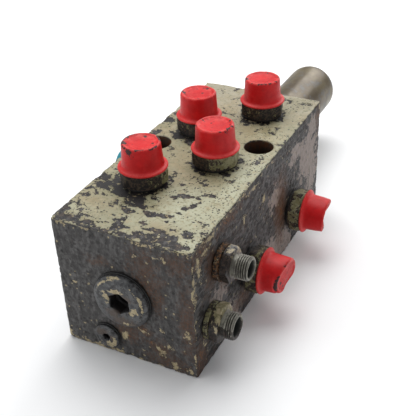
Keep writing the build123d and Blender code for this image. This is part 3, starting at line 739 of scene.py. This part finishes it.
def rim_circles(flat, edges):
    """Centre and radius of each closed loop among the edges."""
    group = list(range(len(flat)))

    def top_of(k):
        while group[k] != k:
            k = group[k]
        return k

    for a, b in edges:
        group[top_of(a)] = top_of(b)
    circles = []
    for root in sorted({top_of(k) for k in range(len(flat))}):
        loop = flat[[k for k in range(len(flat)) if top_of(k) == root]]
        middle = (loop.min(0) + loop.max(0)) / 2
        circles.append((*middle, float(np.hypot(*(loop - middle).T).mean())))
    return circles


def round_over(points):
    """Rounds the box's edges: the front left upright by its worn radius, the rest by a little."""
    low, high = BLOCK_LOW, BLOCK_HIGH
    sharp = points.copy()
    corner = smooth(-points[:, 1], 60.0, 90.0) * smooth(-points[:, 0], 20.0, 35.0)
    radius = WORN_EDGE + (WORN_CORNER - WORN_EDGE) * corner
    centre = np.clip(sharp[:, :2], low[:2] + radius[:, None], high[:2] - radius[:, None])
    offset = sharp[:, :2] - centre
    length = np.hypot(*offset.T)
    reach = np.abs(offset).max(1)
    near = length > 1e-9
    offset[near] *= (reach[near] / length[near])[:, None]
    flat = centre + offset
    inward = np.zeros_like(offset)
    inward[near] = -offset[near] / np.maximum(reach[near], 1e-9)[:, None]
    depth = np.where(near, radius - reach, radius)
    for level, outward in ((low[2], -1), (high[2], 1)):
        below = np.abs(sharp[:, 2] - level)
        soft = WORN_EDGE
        u, v = np.minimum(depth, soft) - soft, np.minimum(below, soft) - soft
        span = np.hypot(u, v)
        turn = (u < -1e-9) & (v < -1e-9)
        new_u = np.where(turn, soft + soft * u / np.maximum(span, 1e-9), depth)
        new_v = np.where(turn, soft + soft * v / np.maximum(span, 1e-9), below)
        flat = flat + inward * np.where(turn, new_u - np.minimum(depth, soft), 0.0)[:, None]
        sharp[:, 2] = np.where(below < soft, level - outward * new_v, sharp[:, 2])
    return np.column_stack([flat, sharp[:, 2]])


def build_block():
    walls, wall_faces, rims = inner_walls()
    ticks = [
        edge_ticks(LEFT, RIGHT, WORN_CORNER),
        edge_ticks(FRONT, REAR, WORN_CORNER),
        edge_ticks(BLOCK_LOW[2], TOP, WORN_EDGE),
    ]
    points, faces, circles = [walls], list(wall_faces), []
    total = len(walls)
    for axis in range(3):
        first, second = (ticks[k] for k in range(3) if k != axis)
        for level in (BLOCK_LOW[axis], BLOCK_HIGH[axis]):
            side, side_faces, side_circles = face_skin(first, second, level, axis, walls, rims)
            faces.extend([k + total for k in face] for face in side_faces)
            points.append(side)
            total += len(side)
            circles.extend(side_circles)
    points = np.vstack(points)
    skin = np.arange(len(points)) >= len(walls)
    points[skin] = round_over(points[skin])
    block = piece_from("valve_body_skin", points, faces)
    weld(block)
    return block, circles


def weld(piece):
    work = bmesh.new()
    work.from_mesh(piece.data)
    bmesh.ops.remove_doubles(work, verts=work.verts, dist=2e-6)
    bmesh.ops.recalc_face_normals(work, faces=work.faces)
    work.to_mesh(piece.data)
    work.free()


def wear_block(block, circles):
    """Sinks chips, pits and worn edges into the block and keeps its fields of wear, painted sheen and painted
    shade.
    """
    p = points_of(block)
    n = normals_of(block)
    x, y, z = p.T
    depth = np.minimum(p - BLOCK_LOW, BLOCK_HIGH - p)
    shell = depth.min(1) < 1.2
    second = np.sort(depth, 1)[:, 1]
    top = smooth(n[:, 2], 0.45, 0.8) * (z > TOP - 2)
    end = smooth(-n[:, 1], 0.5, 0.8)
    right = smooth(n[:, 0], 0.5, 0.8)
    rough = cloud(p, 5.0, 3, 1.0)
    ragged = cloud(p, 2.6, 2, 2.0)
    fuzz = 0.20 * rough + 0.16 * ragged
    bend_x = 2.2 * cloud(p, 9.0, 3, 13.0) + 0.9 * cloud(p, 3.0, 2, 14.0)
    bend_y = 2.2 * cloud(p, 9.0, 3, 15.0) + 0.9 * cloud(p, 3.0, 2, 16.0)
    loss = blot(x + bend_x, y + bend_y, TOP_CHIPS, fuzz) * top
    near_front = smooth(-y, 84, 102) * smooth(x, -50, -5) + 0.8 * smooth(-y, 96, 108)
    near_left = smooth(-x, 36, 47) * smooth(y, 60, 20)
    network = cloud(p, 8.0, 5, 17.0)
    loss = np.maximum(loss, top * (0.16 + 0.20 * np.maximum(near_front, near_left) + 0.62 * network))
    soot_and_port_shade = blot(x + bend_x, y + bend_y, TOP_SOOT, fuzz)
    # Around each capped port the paint is chipped and darkened: wear and grime, and partly painted shade of
    # the fitting.
    for port in ("work_port_a1", "work_port_b1", "work_port_a2", "work_port_b2"):
        low, high = node_box(port + "_adapter")
        middle = (low + high) / 2
        ring = smooth(np.hypot(x - middle[0], y - middle[1]) + 1.5 * bend_x, 20.5, 16.5)
        soot_and_port_shade = np.maximum(soot_and_port_shade, 0.55 * ring)
        loss = np.maximum(loss, 0.62 * ring * top * (fuzz > -0.08))
    loss = np.maximum(loss, top * (0.52 - 0.30 * smooth(second, 0.3, 1.8)) * (fuzz > -0.02))
    speckle = 0.12 + 0.75 * blot(x, y, TOP_GRAINS, fuzz) + 0.35 * smooth(loss, 0.05, 0.45)
    # Painted sheen on top.
    stain = blot(x, y, TOP_STAINS, fuzz) * top + blot(y + bend_y, z + bend_x, SIDE_HALO, fuzz) * right
    painted_sheen = blot(x, y, TOP_PAINTED_SHEEN, fuzz)
    beige = smooth(y - 0.9 * x, 20, 60) * 0.8
    cream = blot(x + bend_x, z + bend_y, END_CREAM, fuzz) * end
    cream += blot(y + bend_y, z + bend_x, SIDE_CREAM, fuzz) * right
    rust = 0.62 * blot(x + bend_x, z + bend_y, END_RUST, fuzz) * end
    rust += 0.80 * blot(y + bend_x, z + bend_y, SIDE_RUST, fuzz) * right
    rust = np.maximum(rust, blot(x, z, END_ORANGE, fuzz) * end)
    smooth_grime = blot(y + bend_y, z + 2 * bend_x, SIDE_SMOOTH, 1.5 * fuzz) * right
    others = 1 - np.maximum.reduce([top, end, right])
    cream = cream + others * smooth(second, 3.0, 0.0) * 0.5
    clear = np.ones(len(p))
    for axis, level, u, v, radius in circles:
        first, other = (k for k in range(3) if k != axis)
        gap = np.hypot(p[:, first] - u, p[:, other] - v) - radius
        close = np.abs(p[:, axis] - level) < 1.5
        clear = np.where(close, np.minimum(clear, smooth(gap, 0.05, 1.4)), clear)
    clear *= shell
    chipped = smooth(loss, 0.44, 0.56)
    pits = smooth(cloud(p, 4.0, 3, 5.0), 0.05, 0.4)
    slant = cloud(np.column_stack([x - 0.9 * z, 3 * y, z + 0.9 * x]) * (0.35, 1, 0.16), 1.4, 3, 7.0)
    flank = 1 - top
    sunk = 0.34 * chipped + 0.06 * (rough + 1) * top
    sunk += flank * (0.12 + 0.42 * pits + 0.20 * np.maximum(slant, -0.5) * end)
    sunk += 0.14 * right * (cloud(p, 2.4, 2, 19.0) + 0.5)
    edge = smooth(second, 2.2, 0.2)
    sunk += edge * smooth(cloud(p, 7.0, 4, 9.0), 0.0, 0.5) * (0.35 + 0.45 * smooth(z, 60, 90))
    sink(block, np.maximum(sunk, 0.0) * clear)
    hollow = (~shell) | (depth.min(1) > 0.9)
    below = np.minimum(depth[:, 2], 30.0)
    for name, values in (
        ("loss", loss), ("speckle", speckle), ("stain", stain), ("cream", cream), ("rust", rust),
        ("smooth", smooth_grime), ("top", top), ("end", end), ("soot_and_port_shade", soot_and_port_shade), ("painted_sheen", painted_sheen),
        ("beige", beige), ("wall", hollow * smooth(below, 0.2, 1.6)),
        # Painted shade, darker the deeper into the holes.
        ("hole_shade", hollow * smooth(below, 1.0, 16.0)),
    ):
        field(block, name, values)


# ---------------------------------------------------------------- fittings

THREAD_PITCH = 1.5
THREAD_DEPTH = 0.85
CONE_HALF_ANGLE = math.radians(12)


def cad_profile(node, seat):
    """Radius and height about a seat of each point of a CAD node, in mm."""
    points = np.array([v.co[:] for v in frame["nodes"][node].data.vertices]) / MM
    radius, _, height = seat.polar(points)
    return radius, height


def adapter_sizes(node, seat):
    """Sizes of a screwed adapter, read from its CAD node in mm."""
    radius, height = cad_profile(node, seat)
    outside = height > 0.3
    corner = radius[outside].max()
    flange = height[radius > 0.9 * corner]
    top = height.max()
    return {
        "corner": corner,
        "flat": corner * math.cos(math.pi / 6),
        "low": height[(radius > 0.75 * corner) & outside].min(),
        "high": flange.max(),
        "thread": radius[height > top - 2.0].max(),
        "top": top,
        "bottom": height.min(),
        "stud": radius[~outside].max(),
        "mouth": radius[np.abs(height - top) < 0.01].min(),
        "bore": radius.min(),
    }


def threaded(radius, height, start, end, steps):
    """Radius over the angle of a right-hand thread's surface at one height."""
    phase = (height / THREAD_PITCH - np.arange(steps) / steps) % 1.0
    ridge = smooth(np.abs(phase - 0.5) * 2, 0.18, 0.80)
    run_in = max(0.0, (height - start) / THREAD_PITCH)
    run_out = max(0.0, (end - height) / (0.6 * THREAD_PITCH))
    return radius - THREAD_DEPTH * ridge * min(1.0, run_in, run_out)


def build_adapter(node, seat, turn, steps=144, thread_rows=6):
    """Stud, hexagon with turned corners, neck, cut thread, rim and cone mouth, as one closed skin."""
    s = adapter_sizes(node, seat)
    flat, corner = s["flat"], s["corner"]
    cone = 0.6 * (corner - flat)
    low, high, top = s["low"], s["high"] + cone, s["top"]
    neck = s["thread"] - 1.1
    stud = [(s["bore"], s["bottom"]), (s["stud"] - 1, s["bottom"], 0.3), (s["stud"], s["bottom"] + 1, 0.3)]
    rows = outline([*stud, (s["stud"], low)], 1.5)
    six = hexagon(flat, steps)
    for t in [0, 0.3, 0.6, 1.0]:
        rows.append((np.minimum(six, flat - 0.4 + t * (corner - flat + 0.5)), low + t * cone))
    for h in np.linspace(low + cone, high - cone, max(5, round((high - low - 2 * cone) / 0.8)))[1:-1]:
        rows.append((np.minimum(six, corner), h))
    for t in [1.0, 0.75, 0.5, 0.25, 0]:
        rows.append((np.minimum(six, flat - 0.4 + t * (corner - flat + 0.5)), high - t * cone))
    neck_end = (s["thread"] - THREAD_DEPTH, high + 2.4)
    rows.extend(outline([(flat - 1.0, high), (neck, high, 0.3), (neck, high + 1.8, 0.3), neck_end], 0.8))
    start, end = high + 2.6, top - 1.0
    for h in np.linspace(start, end, max(6, round((end - start) / THREAD_PITCH * thread_rows))):
        rows.append((threaded(s["thread"], h, start, end + 1.0, steps), h))
    rim = np.minimum(threaded(s["thread"], top - 0.5, start, top, steps), s["thread"] - 0.5)
    rows.append((rim, top - 0.5))
    seat_depth = (s["mouth"] - s["bore"]) / math.tan(CONE_HALF_ANGLE)
    mouth = [(s["thread"] - 1.0, top - 0.06), (s["mouth"] + 0.25, top, 0.2), (s["mouth"] - 0.05, top - 0.4)]
    rows.extend(outline([*mouth, (s["bore"], top - seat_depth, 0.5), (s["bore"], s["bottom"] + 2)], 1.6))
    piece = spin(node + "_body", seat, rows, steps, turn, ring=True, angle=32)
    return piece, s, high


def wear_adapter(piece, seat, sizes, high, dark_side=None, bite=0.12):
    """Chips and rounds an adapter's hexagon; dark_side is the angle, in degrees, that grime gathers on."""
    p = points_of(piece)
    radius, angle, height = seat.polar(p)
    on_hex = smooth(radius, sizes["thread"] + 0.5, sizes["thread"] + 1.2) * (height > sizes["low"] - 0.1)
    rough = cloud(p, 4.0, 4, 3.0)
    corner = smooth(radius, sizes["flat"] + 0.5, sizes["corner"] - 0.2)
    sunk = on_hex * (0.05 + bite * smooth(rough, 0.05, 0.35) + bite * corner * smooth(rough, -0.3, 0.3))
    sink(piece, np.maximum(sunk, 0))
    grime = 0.5 * smooth(height, sizes["low"] + 3, sizes["low"]) + 0.2 * rough
    if dark_side is not None:
        grime = grime + 0.75 * np.cos(np.radians(angle - dark_side))
    field(piece, "grime", grime)
    bare = (radius < sizes["thread"] + 0.3) & (height > high - 0.2)
    field(piece, "bare", bare)
    on_thread = (height > high + 2) * (height < sizes["top"] - 0.4)
    field(piece, "groove", smooth(radius, sizes["thread"] - 0.25, sizes["thread"] - 0.8) * on_thread)
    inside = (radius < sizes["mouth"] - 0.1) & (height > sizes["bottom"] + 1)
    # Painted shade inside the bore, darker further in.
    field(piece, "recess_shade", inside * smooth(height, sizes["top"] - 0.3, sizes["top"] - 2.2))


def build_ring(node, seat, rounding, depth=0.0, steps=96):
    """A sealing ring with rounded rims, roughened by a depth in mm."""
    radius, height = cad_profile(node, seat)
    inner, outer, low, high = radius.min(), radius.max(), height.min(), height.max()
    middle = (inner + outer) / 2
    rows = outline([(middle, low), (outer, low, rounding), (outer, high, rounding), (inner, high, rounding),
                    (inner, low, rounding), (middle, low)], 0.5)[:-1]
    piece = spin(node + "_ring", seat, rows, steps, ring=True, angle=50)
    if depth:
        p = points_of(piece)
        sink(piece, depth * smooth(cloud(p, 3.0, 4, 4.0), -0.35, 0.45))
    return piece


def build_cap(node, seat, inner):
    """Push-on cap: rounded flange, tapered skirt, rolled top rim, dished top, and its inside."""
    radius, height = cad_profile(node, seat)
    low, high, lip = height.min(), height.max(), radius.max()
    foot = radius[np.abs(height - (low + 3.2)) < 0.15].max()
    tip = radius[np.abs(height - (high - 1.4)) < 0.15].max()
    dish = [(0.6, high - 1.35), (tip * 0.45, high - 1.3), (tip - 3.0, high - 0.85)]
    rim = [(tip - 1.7, high - 0.05, 0.5), (tip - 0.9, high - 0.02, 0.5), (tip, high - 0.9, 0.7)]
    skirt = [(foot, low + 3.6, 1.2), (foot + 0.7, low + 2.5, 0.9), (lip - 0.7, low + 1.9, 0.6)]
    flange = [(lip, low + 1.1, 0.8), (lip - 0.7, low, 0.8), (inner, low, 0.4)]
    hollow = [(inner, high - 3.4, 0.8), (inner - 1.2, high - 2.3, 0.6), (0.6, high - 2.3)]
    rows = outline(dish + rim + skirt + flange + hollow, 0.5)
    return spin(node + "_shell", seat, rows, 128, angle=60), low, high, tip


def wear_cap(piece, seat, low, high, tip, seed, dirty=0.2, marks=()):
    """Gives a cap its slightly uneven moulding and its fields of scuffs and dirt."""
    p = points_of(piece)
    radius, _, height = seat.polar(p)
    shift = p - seat.origin + seed * 31.0
    top_face = smooth(height, high - 1.6, high - 0.6)
    wavy = cloud(shift, 18.0, 2, seed)
    skirt = smooth(height, low + 1.0, low + 5.0)
    sink(piece, 0.10 + 0.16 * wavy * skirt + 0.10 * smooth(cloud(shift, 6.0, 3, seed), 0.0, 0.5) * top_face)
    field(piece, "scuff", 0.10 + 0.90 * top_face)
    lips = smooth(np.abs(radius - tip + 1.2), 1.3, 0.3) * smooth(height, high - 1.2, high - 0.4)
    field(piece, "edge", np.maximum(lips, 0.8 * smooth(height, low + 3.4, low + 2.0)))
    rim = smooth(np.abs(radius - tip + 0.8), 1.4, 0.2) * smooth(height, high - 2.2, high - 0.8)
    ground = smooth(height, low + 1.0, low)
    patches = smooth(cloud(shift, 7.0, 3, seed + 2), 0.05, 0.5)
    dirt = dirty * rim * (0.45 + patches) + 0.35 * ground + 0.25 * dirty * patches * top_face
    for towards, reach, below, size, strength in marks:
        spot = seat.place(reach, math.radians(towards), high - below)
        dirt = np.maximum(dirt, strength * np.exp(-((np.linalg.norm(p - spot, axis=1) / size) ** 2)))
    field(piece, "dirt", dirt)


def crumple(piece, seat, start, high, dents):
    """Pushes in a cap's end by dents of (u, v, half length, half width, axial, inward) in mm, past start."""
    p = points_of(piece)
    radius, _, height = seat.polar(p)
    offset = p - seat.origin
    u, v = offset @ seat.start, offset @ seat.side
    free = smooth(height, start + 0.8, high - 1.5)
    for mid_u, mid_v, half_u, half_v, axial, inward in dents:
        share = free * np.exp(-(((u - mid_u) / half_u) ** 2) - ((v - mid_v) / half_v) ** 2)
        p = p - (share * axial)[:, None] * seat.axis
        outward = (u[:, None] * seat.start + v[:, None] * seat.side) / np.maximum(radius, 1.0)[:, None]
        p = p - (share * inward * smooth(radius, 3.0, 9.0))[:, None] * outward
    move_points(piece, p)


def build_plug(node, seat, key, key_depth, turn, steps=144):
    """Flanged plug with a bevelled face and an inner hexagon."""
    radius, height = cad_profile(node, seat)
    flange, face_h = radius.max(), height.max()
    rim_low = height[radius > flange - 0.05].min()
    rim_high = height[radius > flange - 0.05].max()
    stud = radius[height < rim_low - 0.3].max()
    face_r = radius[height > face_h - 0.05].max()
    bottom = height.min()
    six = hexagon(key, steps, 0.1)
    rows = outline([(0.5, bottom), (stud - 1.2, bottom, 0.3), (stud, bottom + 1.2, 0.3), (stud, rim_low, 0.1),
                    (flange, rim_low, 0.4), (flange, rim_high, 0.9), (face_r + 1.0, face_h - 0.4, 0.8),
                    (face_r, face_h, 0.5)], 0.7)
    for t in np.linspace(0, 1, 9)[1:]:
        rows.append((face_r + (six + 0.5 - face_r) * t, face_h - 0.05 * t))
    rows.append((six + 0.15, face_h - 0.25))
    for h in np.linspace(face_h - 0.7, face_h - key_depth, 10):
        rows.append((six, h))
    drilled = 0.8 * key
    rows.extend(outline([(drilled + 0.2, face_h - key_depth - 0.3), (drilled, face_h - key_depth - 0.6),
                         (drilled, face_h - 1.35 * key_depth, 0.4), (0.5, face_h - 1.39 * key_depth)], 0.9))
    return spin(node + "_body", seat, rows, steps, turn, angle=38), face_h


def wear_plug(piece, seat, face_h, key, streaks, patches, rusty):
    """Roughens a plug and keeps where paint and rust are left, by (angle, radius, spread, width)."""
    p = points_of(piece)
    radius, angle, height = seat.polar(p)
    rough = cloud(p, 4.5, 4, 6.0)
    outer = height > -0.2
    socket = (radius < key * 1.2) & (height < face_h - 0.3)
    sink(piece, np.maximum(0.05 + 0.30 * smooth(rough, -0.1, 0.5), 0) * outer * ~socket)
    fuzz = 0.16 * rough
    left = np.zeros(len(p))
    for towards, ring_r, spread, width in streaks:
        off = (angle - towards + 180) % 360 - 180
        reach = np.hypot(off / spread, (radius - ring_r) / width)
        left = np.maximum(left, 1 - reach / 2)
    flat = np.column_stack([radius * np.cos(np.radians(angle)), radius * np.sin(np.radians(angle))])
    left = np.maximum(left, blot(*flat.T, patches, 0.0))
    field(piece, "cream", np.clip(left + fuzz, 0, 1) * outer * ~socket)
    field(piece, "rust", blot(*flat.T, rusty, fuzz))
    # Painted shade inside the hex socket, darker further in.
    field(piece, "recess_shade", socket * smooth(height, face_h - 0.5, face_h - 3.0) * 0.92)


# ---------------------------------------------------------------- the object

RUBBER = rubber_finish()
RED = cap_finish("red_cap_plastic", (0.60, 0.006, 0.008), (0.48, 0.003, 0.005), (0.68, 0.07, 0.06), SOOT_RED)
TEAL = cap_finish("teal_cap_plastic", (0.02, 0.27, 0.33), (0.015, 0.21, 0.27), (0.10, 0.36, 0.40), SOOT_TEAL)

# Each capped port: its hexagon's turn, share of grime, darker side in degrees and cap's dirt.
PORTS = {
    "work_port_a1": (13.0, 0.62, 230, 1.0),
    "work_port_b1": (45.0, 0.44, 215, 0.5),
    "work_port_a2": (43.0, 0.68, None, 0.25),
    "work_port_b2": (47.0, 0.70, None, 0.4),
    "pressure_port_p1": (44.0, 0.55, None, 0.3),
    "pressure_port_p2": (41.0, 0.46, None, 0.2),
    "tank_port": (30.0, 0.60, None, 0.3),
}
# Grimy spots on caps, as (towards in degrees, distance off the axis, depth below the top, size, strength).
CAP_MARKS = {
    "work_port_a1": [(-98, 13.2, 1.8, 2.4, 1.3), (-90, 13.4, 5.5, 3.4, 0.52), (-150, 11.5, 0.6, 2.6, 1.2),
                     (-75, 11.8, 0.4, 1.6, 1.0), (20, 7.5, 0.9, 1.1, 1.2), (100, 9.0, 0.8, 1.8, 0.8)],
    "work_port_b1": [(-12, 11.0, 0.4, 1.9, 1.2), (4, 12.0, 0.6, 1.4, 1.2), (-30, 12.6, 1.4, 2.0, 0.7),
                     (150, 4.0, 1.2, 0.9, 1.2), (165, 10.5, 0.8, 0.9, 1.2)],
    "work_port_a2": [(40, 3.0, 1.2, 1.0, 1.3), (-160, 11.0, 0.7, 2.4, 0.9), (75, 9.5, 0.8, 1.5, 0.8)],
    "work_port_b2": [(-150, 12.0, 0.5, 2.2, 1.1), (-40, 11.8, 0.4, 1.7, 1.0), (-80, 12.0, 0.5, 1.5, 0.8)],
    "pressure_port_p1": [(-140, 6.0, 0.8, 1.6, 1.3), (150, 12.6, 0.8, 1.5, 1.0), (163, 12.6, 1.0, 1.9, 1.1),
                         (176, 12.6, 1.0, 2.0, 1.2), (-170, 12.6, 1.4, 2.2, 1.3), (-158, 12.6, 1.6, 1.8, 1.0),
                         (-100, 9.0, 0.6, 1.2, 1.2), (110, 12.4, 1.0, 1.6, 0.8)],
}
# Dents in the ends of caps, as crumple() takes them.
CRUMPLED = {
    "pressure_port_p1": [(-13, -2, 15, 15, 4.5, 0.4), (7, -15, 12, 9, 3.4, 2.2)],
    "pressure_port_p2": [(8, -6, 9, 11, 6.4, 2.6), (-4, -6, 7, 9, 2.2, 0.0), (2, -14, 7, 4, 0.0, 1.2)],
}
# Each open adapter: its hexagon's turn and paint, share of grime, darker side and paint on its thread.
PILOTS = {
    "pilot_port_y": (-4.0, (0.16, 0.155, 0.15), 0.56, 200, 0.25),
    "pilot_port_x": (38.6, (0.21, 0.185, 0.09), 0.62, 250, 0.9),
}


def port_seat(port):
    if port.startswith("work"):
        return seat_of(port + "_adapter", Z, X, TOP)
    if port.startswith("pressure"):
        return seat_of(port + "_adapter", X, Y, RIGHT)
    return seat_of(port + "_adapter", -X, Y, LEFT)


def build_port(port, order):
    """A capped adapter with its seal and cap."""
    turn, worn, dark_side, dirty = PORTS[port]
    seat = port_seat(port)
    fitting, sizes, hex_top = build_adapter(port + "_adapter", seat, turn)
    wear_adapter(fitting, seat, sizes, hex_top, dark_side)
    put(fitting, port + "_adapter", fitting_finish(port + "_paint", worn))
    put(build_ring(port + "_seal", seat, 0.3), port + "_seal", RUBBER)
    cap, low, high, tip = build_cap(port + "_cap", seat, sizes["thread"] + 0.3)
    wear_cap(cap, seat, low, high, tip, 1.0 + order, dirty, CAP_MARKS.get(port, ()))
    if port in CRUMPLED:
        crumple(cap, seat, sizes["top"], high, CRUMPLED[port])
    is_tank = port == "tank_port"
    put(cap, port + "_cap", TEAL if is_tank else RED)


def build_pilot(pilot):
    """An open adapter with its ring: a rusted one at y, one under overspray at x."""
    turn, paint, worn, dark_side, coated = PILOTS[pilot]
    seat = seat_of(pilot + "_adapter", X, Y, RIGHT)
    fitting, sizes, hex_top = build_adapter(pilot + "_adapter", seat, turn, 216, 9)
    wear_adapter(fitting, seat, sizes, hex_top, dark_side, 0.2)
    put(fitting, pilot + "_adapter", thread_finish(pilot + "_worn", paint, worn, coated))
    rusty = pilot == "pilot_port_y"
    washer = build_ring(pilot + "_seal", seat, 0.9 if rusty else 0.5, 0.45 if rusty else 0.0)
    finish = rusty_finish() if rusty else fitting_finish(pilot + "_seal_overspray", 0.52)
    put(washer, pilot + "_seal", finish)


def build_plugs():
    """The big end plug and the small channel plug, each with its sealing ring."""
    finish = plug_finish()
    seat = seat_of("front_end_plug", -Y, X, FRONT)
    plug, face = build_plug("front_end_plug", seat, 7.0, 8.0, 30.0)
    streaks = [(128, 17.6, 22, 0.7), (20, 16.8, 34, 0.9), (100, 19.2, 16, 0.6)]
    patches = [(-9, 3, 2.6, 4.5, 20), (10.5, -3.5, 3.2, 2.2, 30), (-2, 9, 5, 1.5, 10), (5, -15, 4, 1.2, 10)]
    wear_plug(plug, seat, face, 7.0, streaks, patches, [(2, -14, 8, 4), (-5, -9, 4, 3), (3, 5, 6, 3)])
    put(plug, "front_end_plug", finish)
    put(build_ring("front_plug_seal", seat, 0.4), "front_plug_seal", RUBBER)

    seat = seat_of("channel_plug", -Y, X, FRONT)
    plug, face = build_plug("channel_plug", seat, 2.5, 6.0, 0.0, 96)
    rusty = [(-3, 4, 4, 2.5), (5, 0, 2, 3)]
    wear_plug(plug, seat, face, 2.5, [(-40, 6.6, 60, 1.6)], [(3.5, -4.5, 3.5, 2, -30)], rusty)
    put(plug, "channel_plug", finish)
    put(build_ring("channel_plug_seal", seat, 0.3), "channel_plug_seal", RUBBER)


def build_housing():
    """Closed tube with a rounded end, slightly dented, and its hollow inside."""
    node = "spring_housing"
    seat = seat_of(node, Y, X, REAR)
    low, high = node_box(node)
    radius, length = (high[0] - low[0]) / 2, high[1] - REAR
    reach, height = cad_profile(node, seat)
    bottom, stud, neck = height.min(), reach[height < -1].max(), reach[height < -1].min()
    bore = reach[np.abs(height - 6.0) < 0.3].min()
    floor = height[np.abs(reach - bore) < 0.05].max()
    rounding = radius - reach[height > length - 0.02].max()
    rows = outline([(0.6, length - 0.35), (radius - rounding - 0.5, length - 0.02)], 1.2)
    for t in np.linspace(math.pi / 2, 0, 16):
        rows.append((radius - rounding + rounding * math.cos(t), length - rounding + rounding * math.sin(t)))
    rows += [(radius, h) for h in np.linspace(length - rounding, 2, 92)[1:]]
    outside = [(radius, 1.2), (radius, 0.06, 0.6), (stud, 0.05, 0.2), (stud, bottom, 0.3)]
    inside = [(neck, bottom, 0.3), (neck, 2.0, 0.3), (bore, 6.0, 0.5), (bore, floor, 0.5), (0.6, floor)]
    rows += outline(outside + inside, 3.0)
    piece = spin(node + "_tube", seat, rows, 132, angle=40)
    p = points_of(piece)
    reach, _, height = seat.polar(p)
    outside = (reach > bore + 1) & (height > 0.5) | (height > floor + 1)
    dents = 0.10 + 0.10 * cloud(p, 40.0, 2, 11.0) + 0.10 * cloud(p, 9.0, 3, 12.0)
    sink(piece, np.maximum(dents, 0) * outside)
    return piece


def paint_inner_pieces():
    """Materials for the pieces inside, which keep their CAD shapes."""
    ground = metal_finish("ground_steel", (0.62, 0.62, 0.63), (0.50, 0.50, 0.52), 0.20, 0.95, 2.0, (4, 1, 4))
    dark = metal_finish("oiled_dark_steel", (0.13, 0.13, 0.135), (0.08, 0.08, 0.085), 0.32, 0.8)
    spring = metal_finish("spring_wire", (0.22, 0.23, 0.25), (0.13, 0.13, 0.14), 0.30, 0.85, 2.0)
    bare = metal_finish("dull_steel", (0.30, 0.29, 0.27), (0.17, 0.15, 0.13), 0.42, 0.7)
    brass = metal_finish("turned_brass", (0.66, 0.48, 0.20), (0.50, 0.35, 0.13), 0.28, 0.95, 2.0)
    inner = {
        "main_spool": ground, "check_ball": ground, "spool_spring_seat": dark, "spring_seat_screw": dark,
        "housing_spring_seat": dark, "check_seat": dark, "return_spring": spring, "check_spring": spring,
        "channel_sealing_plugs": bare, "pilot_orifice": brass, "housing_o_ring": RUBBER,
    }
    for node, material in inner.items():
        mesh = frame["nodes"][node].data
        mesh.materials.clear()
        mesh.materials.append(material)


block, hole_circles = build_block()
wear_block(block, hole_circles)
put(block, "valve_body", block_finish())
for order, port in enumerate(PORTS):
    build_port(port, order)
for pilot in PILOTS:
    build_pilot(pilot)
build_plugs()
put(build_housing(), "spring_housing", tube_finish())
paint_inner_pieces()

# ---------------------------------------------------------------- floor, light and camera

# Metres and degrees from here on.
FLOOR_HALF = 2.5
CAMERA_PLACE = (0.221347, -0.419507, 0.357841)
CAMERA_AZIMUTH, CAMERA_ELEVATION, CAMERA_ROLL = 27.38, 32.899, -2.235
CAMERA_LENS = 66.26


def build_floor():
    """Pale studio floor, large enough to fill the view."""
    half, below = FLOOR_HALF, -0.0002
    mesh = bpy.data.meshes.new("floor")
    corners = [(-half, -half, below), (half, -half, below), (half, half, below), (-half, half, below)]
    mesh.from_pydata(corners, [], [(0, 1, 2, 3)])
    floor = bpy.data.objects.new("floor", mesh)
    bpy.context.scene.collection.objects.link(floor)
    f = Finish("pale_floor")
    f.set(Base_Color=f.blend(f.noise(60.0, 3), (0.88, 0.88, 0.88), (0.92, 0.92, 0.92)))
    f.shader.inputs["Roughness"].default_value = 0.9
    mesh.materials.append(f.material)


def area_light(name, place, target, size, power, colour=(1, 1, 1)):
    data = bpy.data.lights.new(name, "AREA")
    data.shape = "RECTANGLE"
    data.size, data.size_y = size
    data.energy = power
    data.color = colour
    light = bpy.data.objects.new(name, data)
    light.location = place
    light.rotation_euler = (Vector(target) - Vector(place)).to_track_quat("-Z", "Y").to_euler()
    bpy.context.scene.collection.objects.link(light)


def build_light():
    world = bpy.data.worlds.new("soft_sky")
    world.use_nodes = True
    world.node_tree.nodes["Background"].inputs["Color"].default_value = (0.95, 0.97, 1.0, 1.0)
    world.node_tree.nodes["Background"].inputs["Strength"].default_value = 0.42
    bpy.context.scene.world = world
    area_light("overhead", (-0.25, 0.35, 1.1), (0, 0, 0.05), (0.9, 0.9), 12.5)
    area_light("front_left", (-0.75, -0.85, 0.55), (0, -0.05, 0.05), (0.6, 0.6), 3.4)
    area_light("window", (0.15, 1.3, 0.75), (0.02, 0, 0.1), (0.9, 0.5), 6.6)


def build_camera():
    """Camera that sees the block from its front right corner, above and slightly rolled."""
    data = bpy.data.cameras.new("camera")
    data.lens, data.sensor_width = CAMERA_LENS, 36.0
    data.clip_start, data.clip_end = 0.01, 20.0
    camera = bpy.data.objects.new("camera", data)
    bpy.context.scene.collection.objects.link(camera)
    azimuth, elevation, roll = (math.radians(v) for v in (CAMERA_AZIMUTH, CAMERA_ELEVATION, CAMERA_ROLL))
    flat = math.cos(elevation)
    back = Vector((math.sin(azimuth) * flat, -math.cos(azimuth) * flat, math.sin(elevation)))
    level = (-back).cross(Vector((0, 0, 1))).normalized()
    upward = level.cross(-back)
    right = math.cos(roll) * level + math.sin(roll) * upward
    up = -math.sin(roll) * level + math.cos(roll) * upward
    turn = Matrix((right, up, back)).transposed().to_4x4()
    camera.matrix_world = Matrix.Translation(CAMERA_PLACE) @ turn
    bpy.context.scene.camera = camera


build_floor()
build_light()
build_camera()
bpy.context.scene.view_settings.view_transform = "Standard"
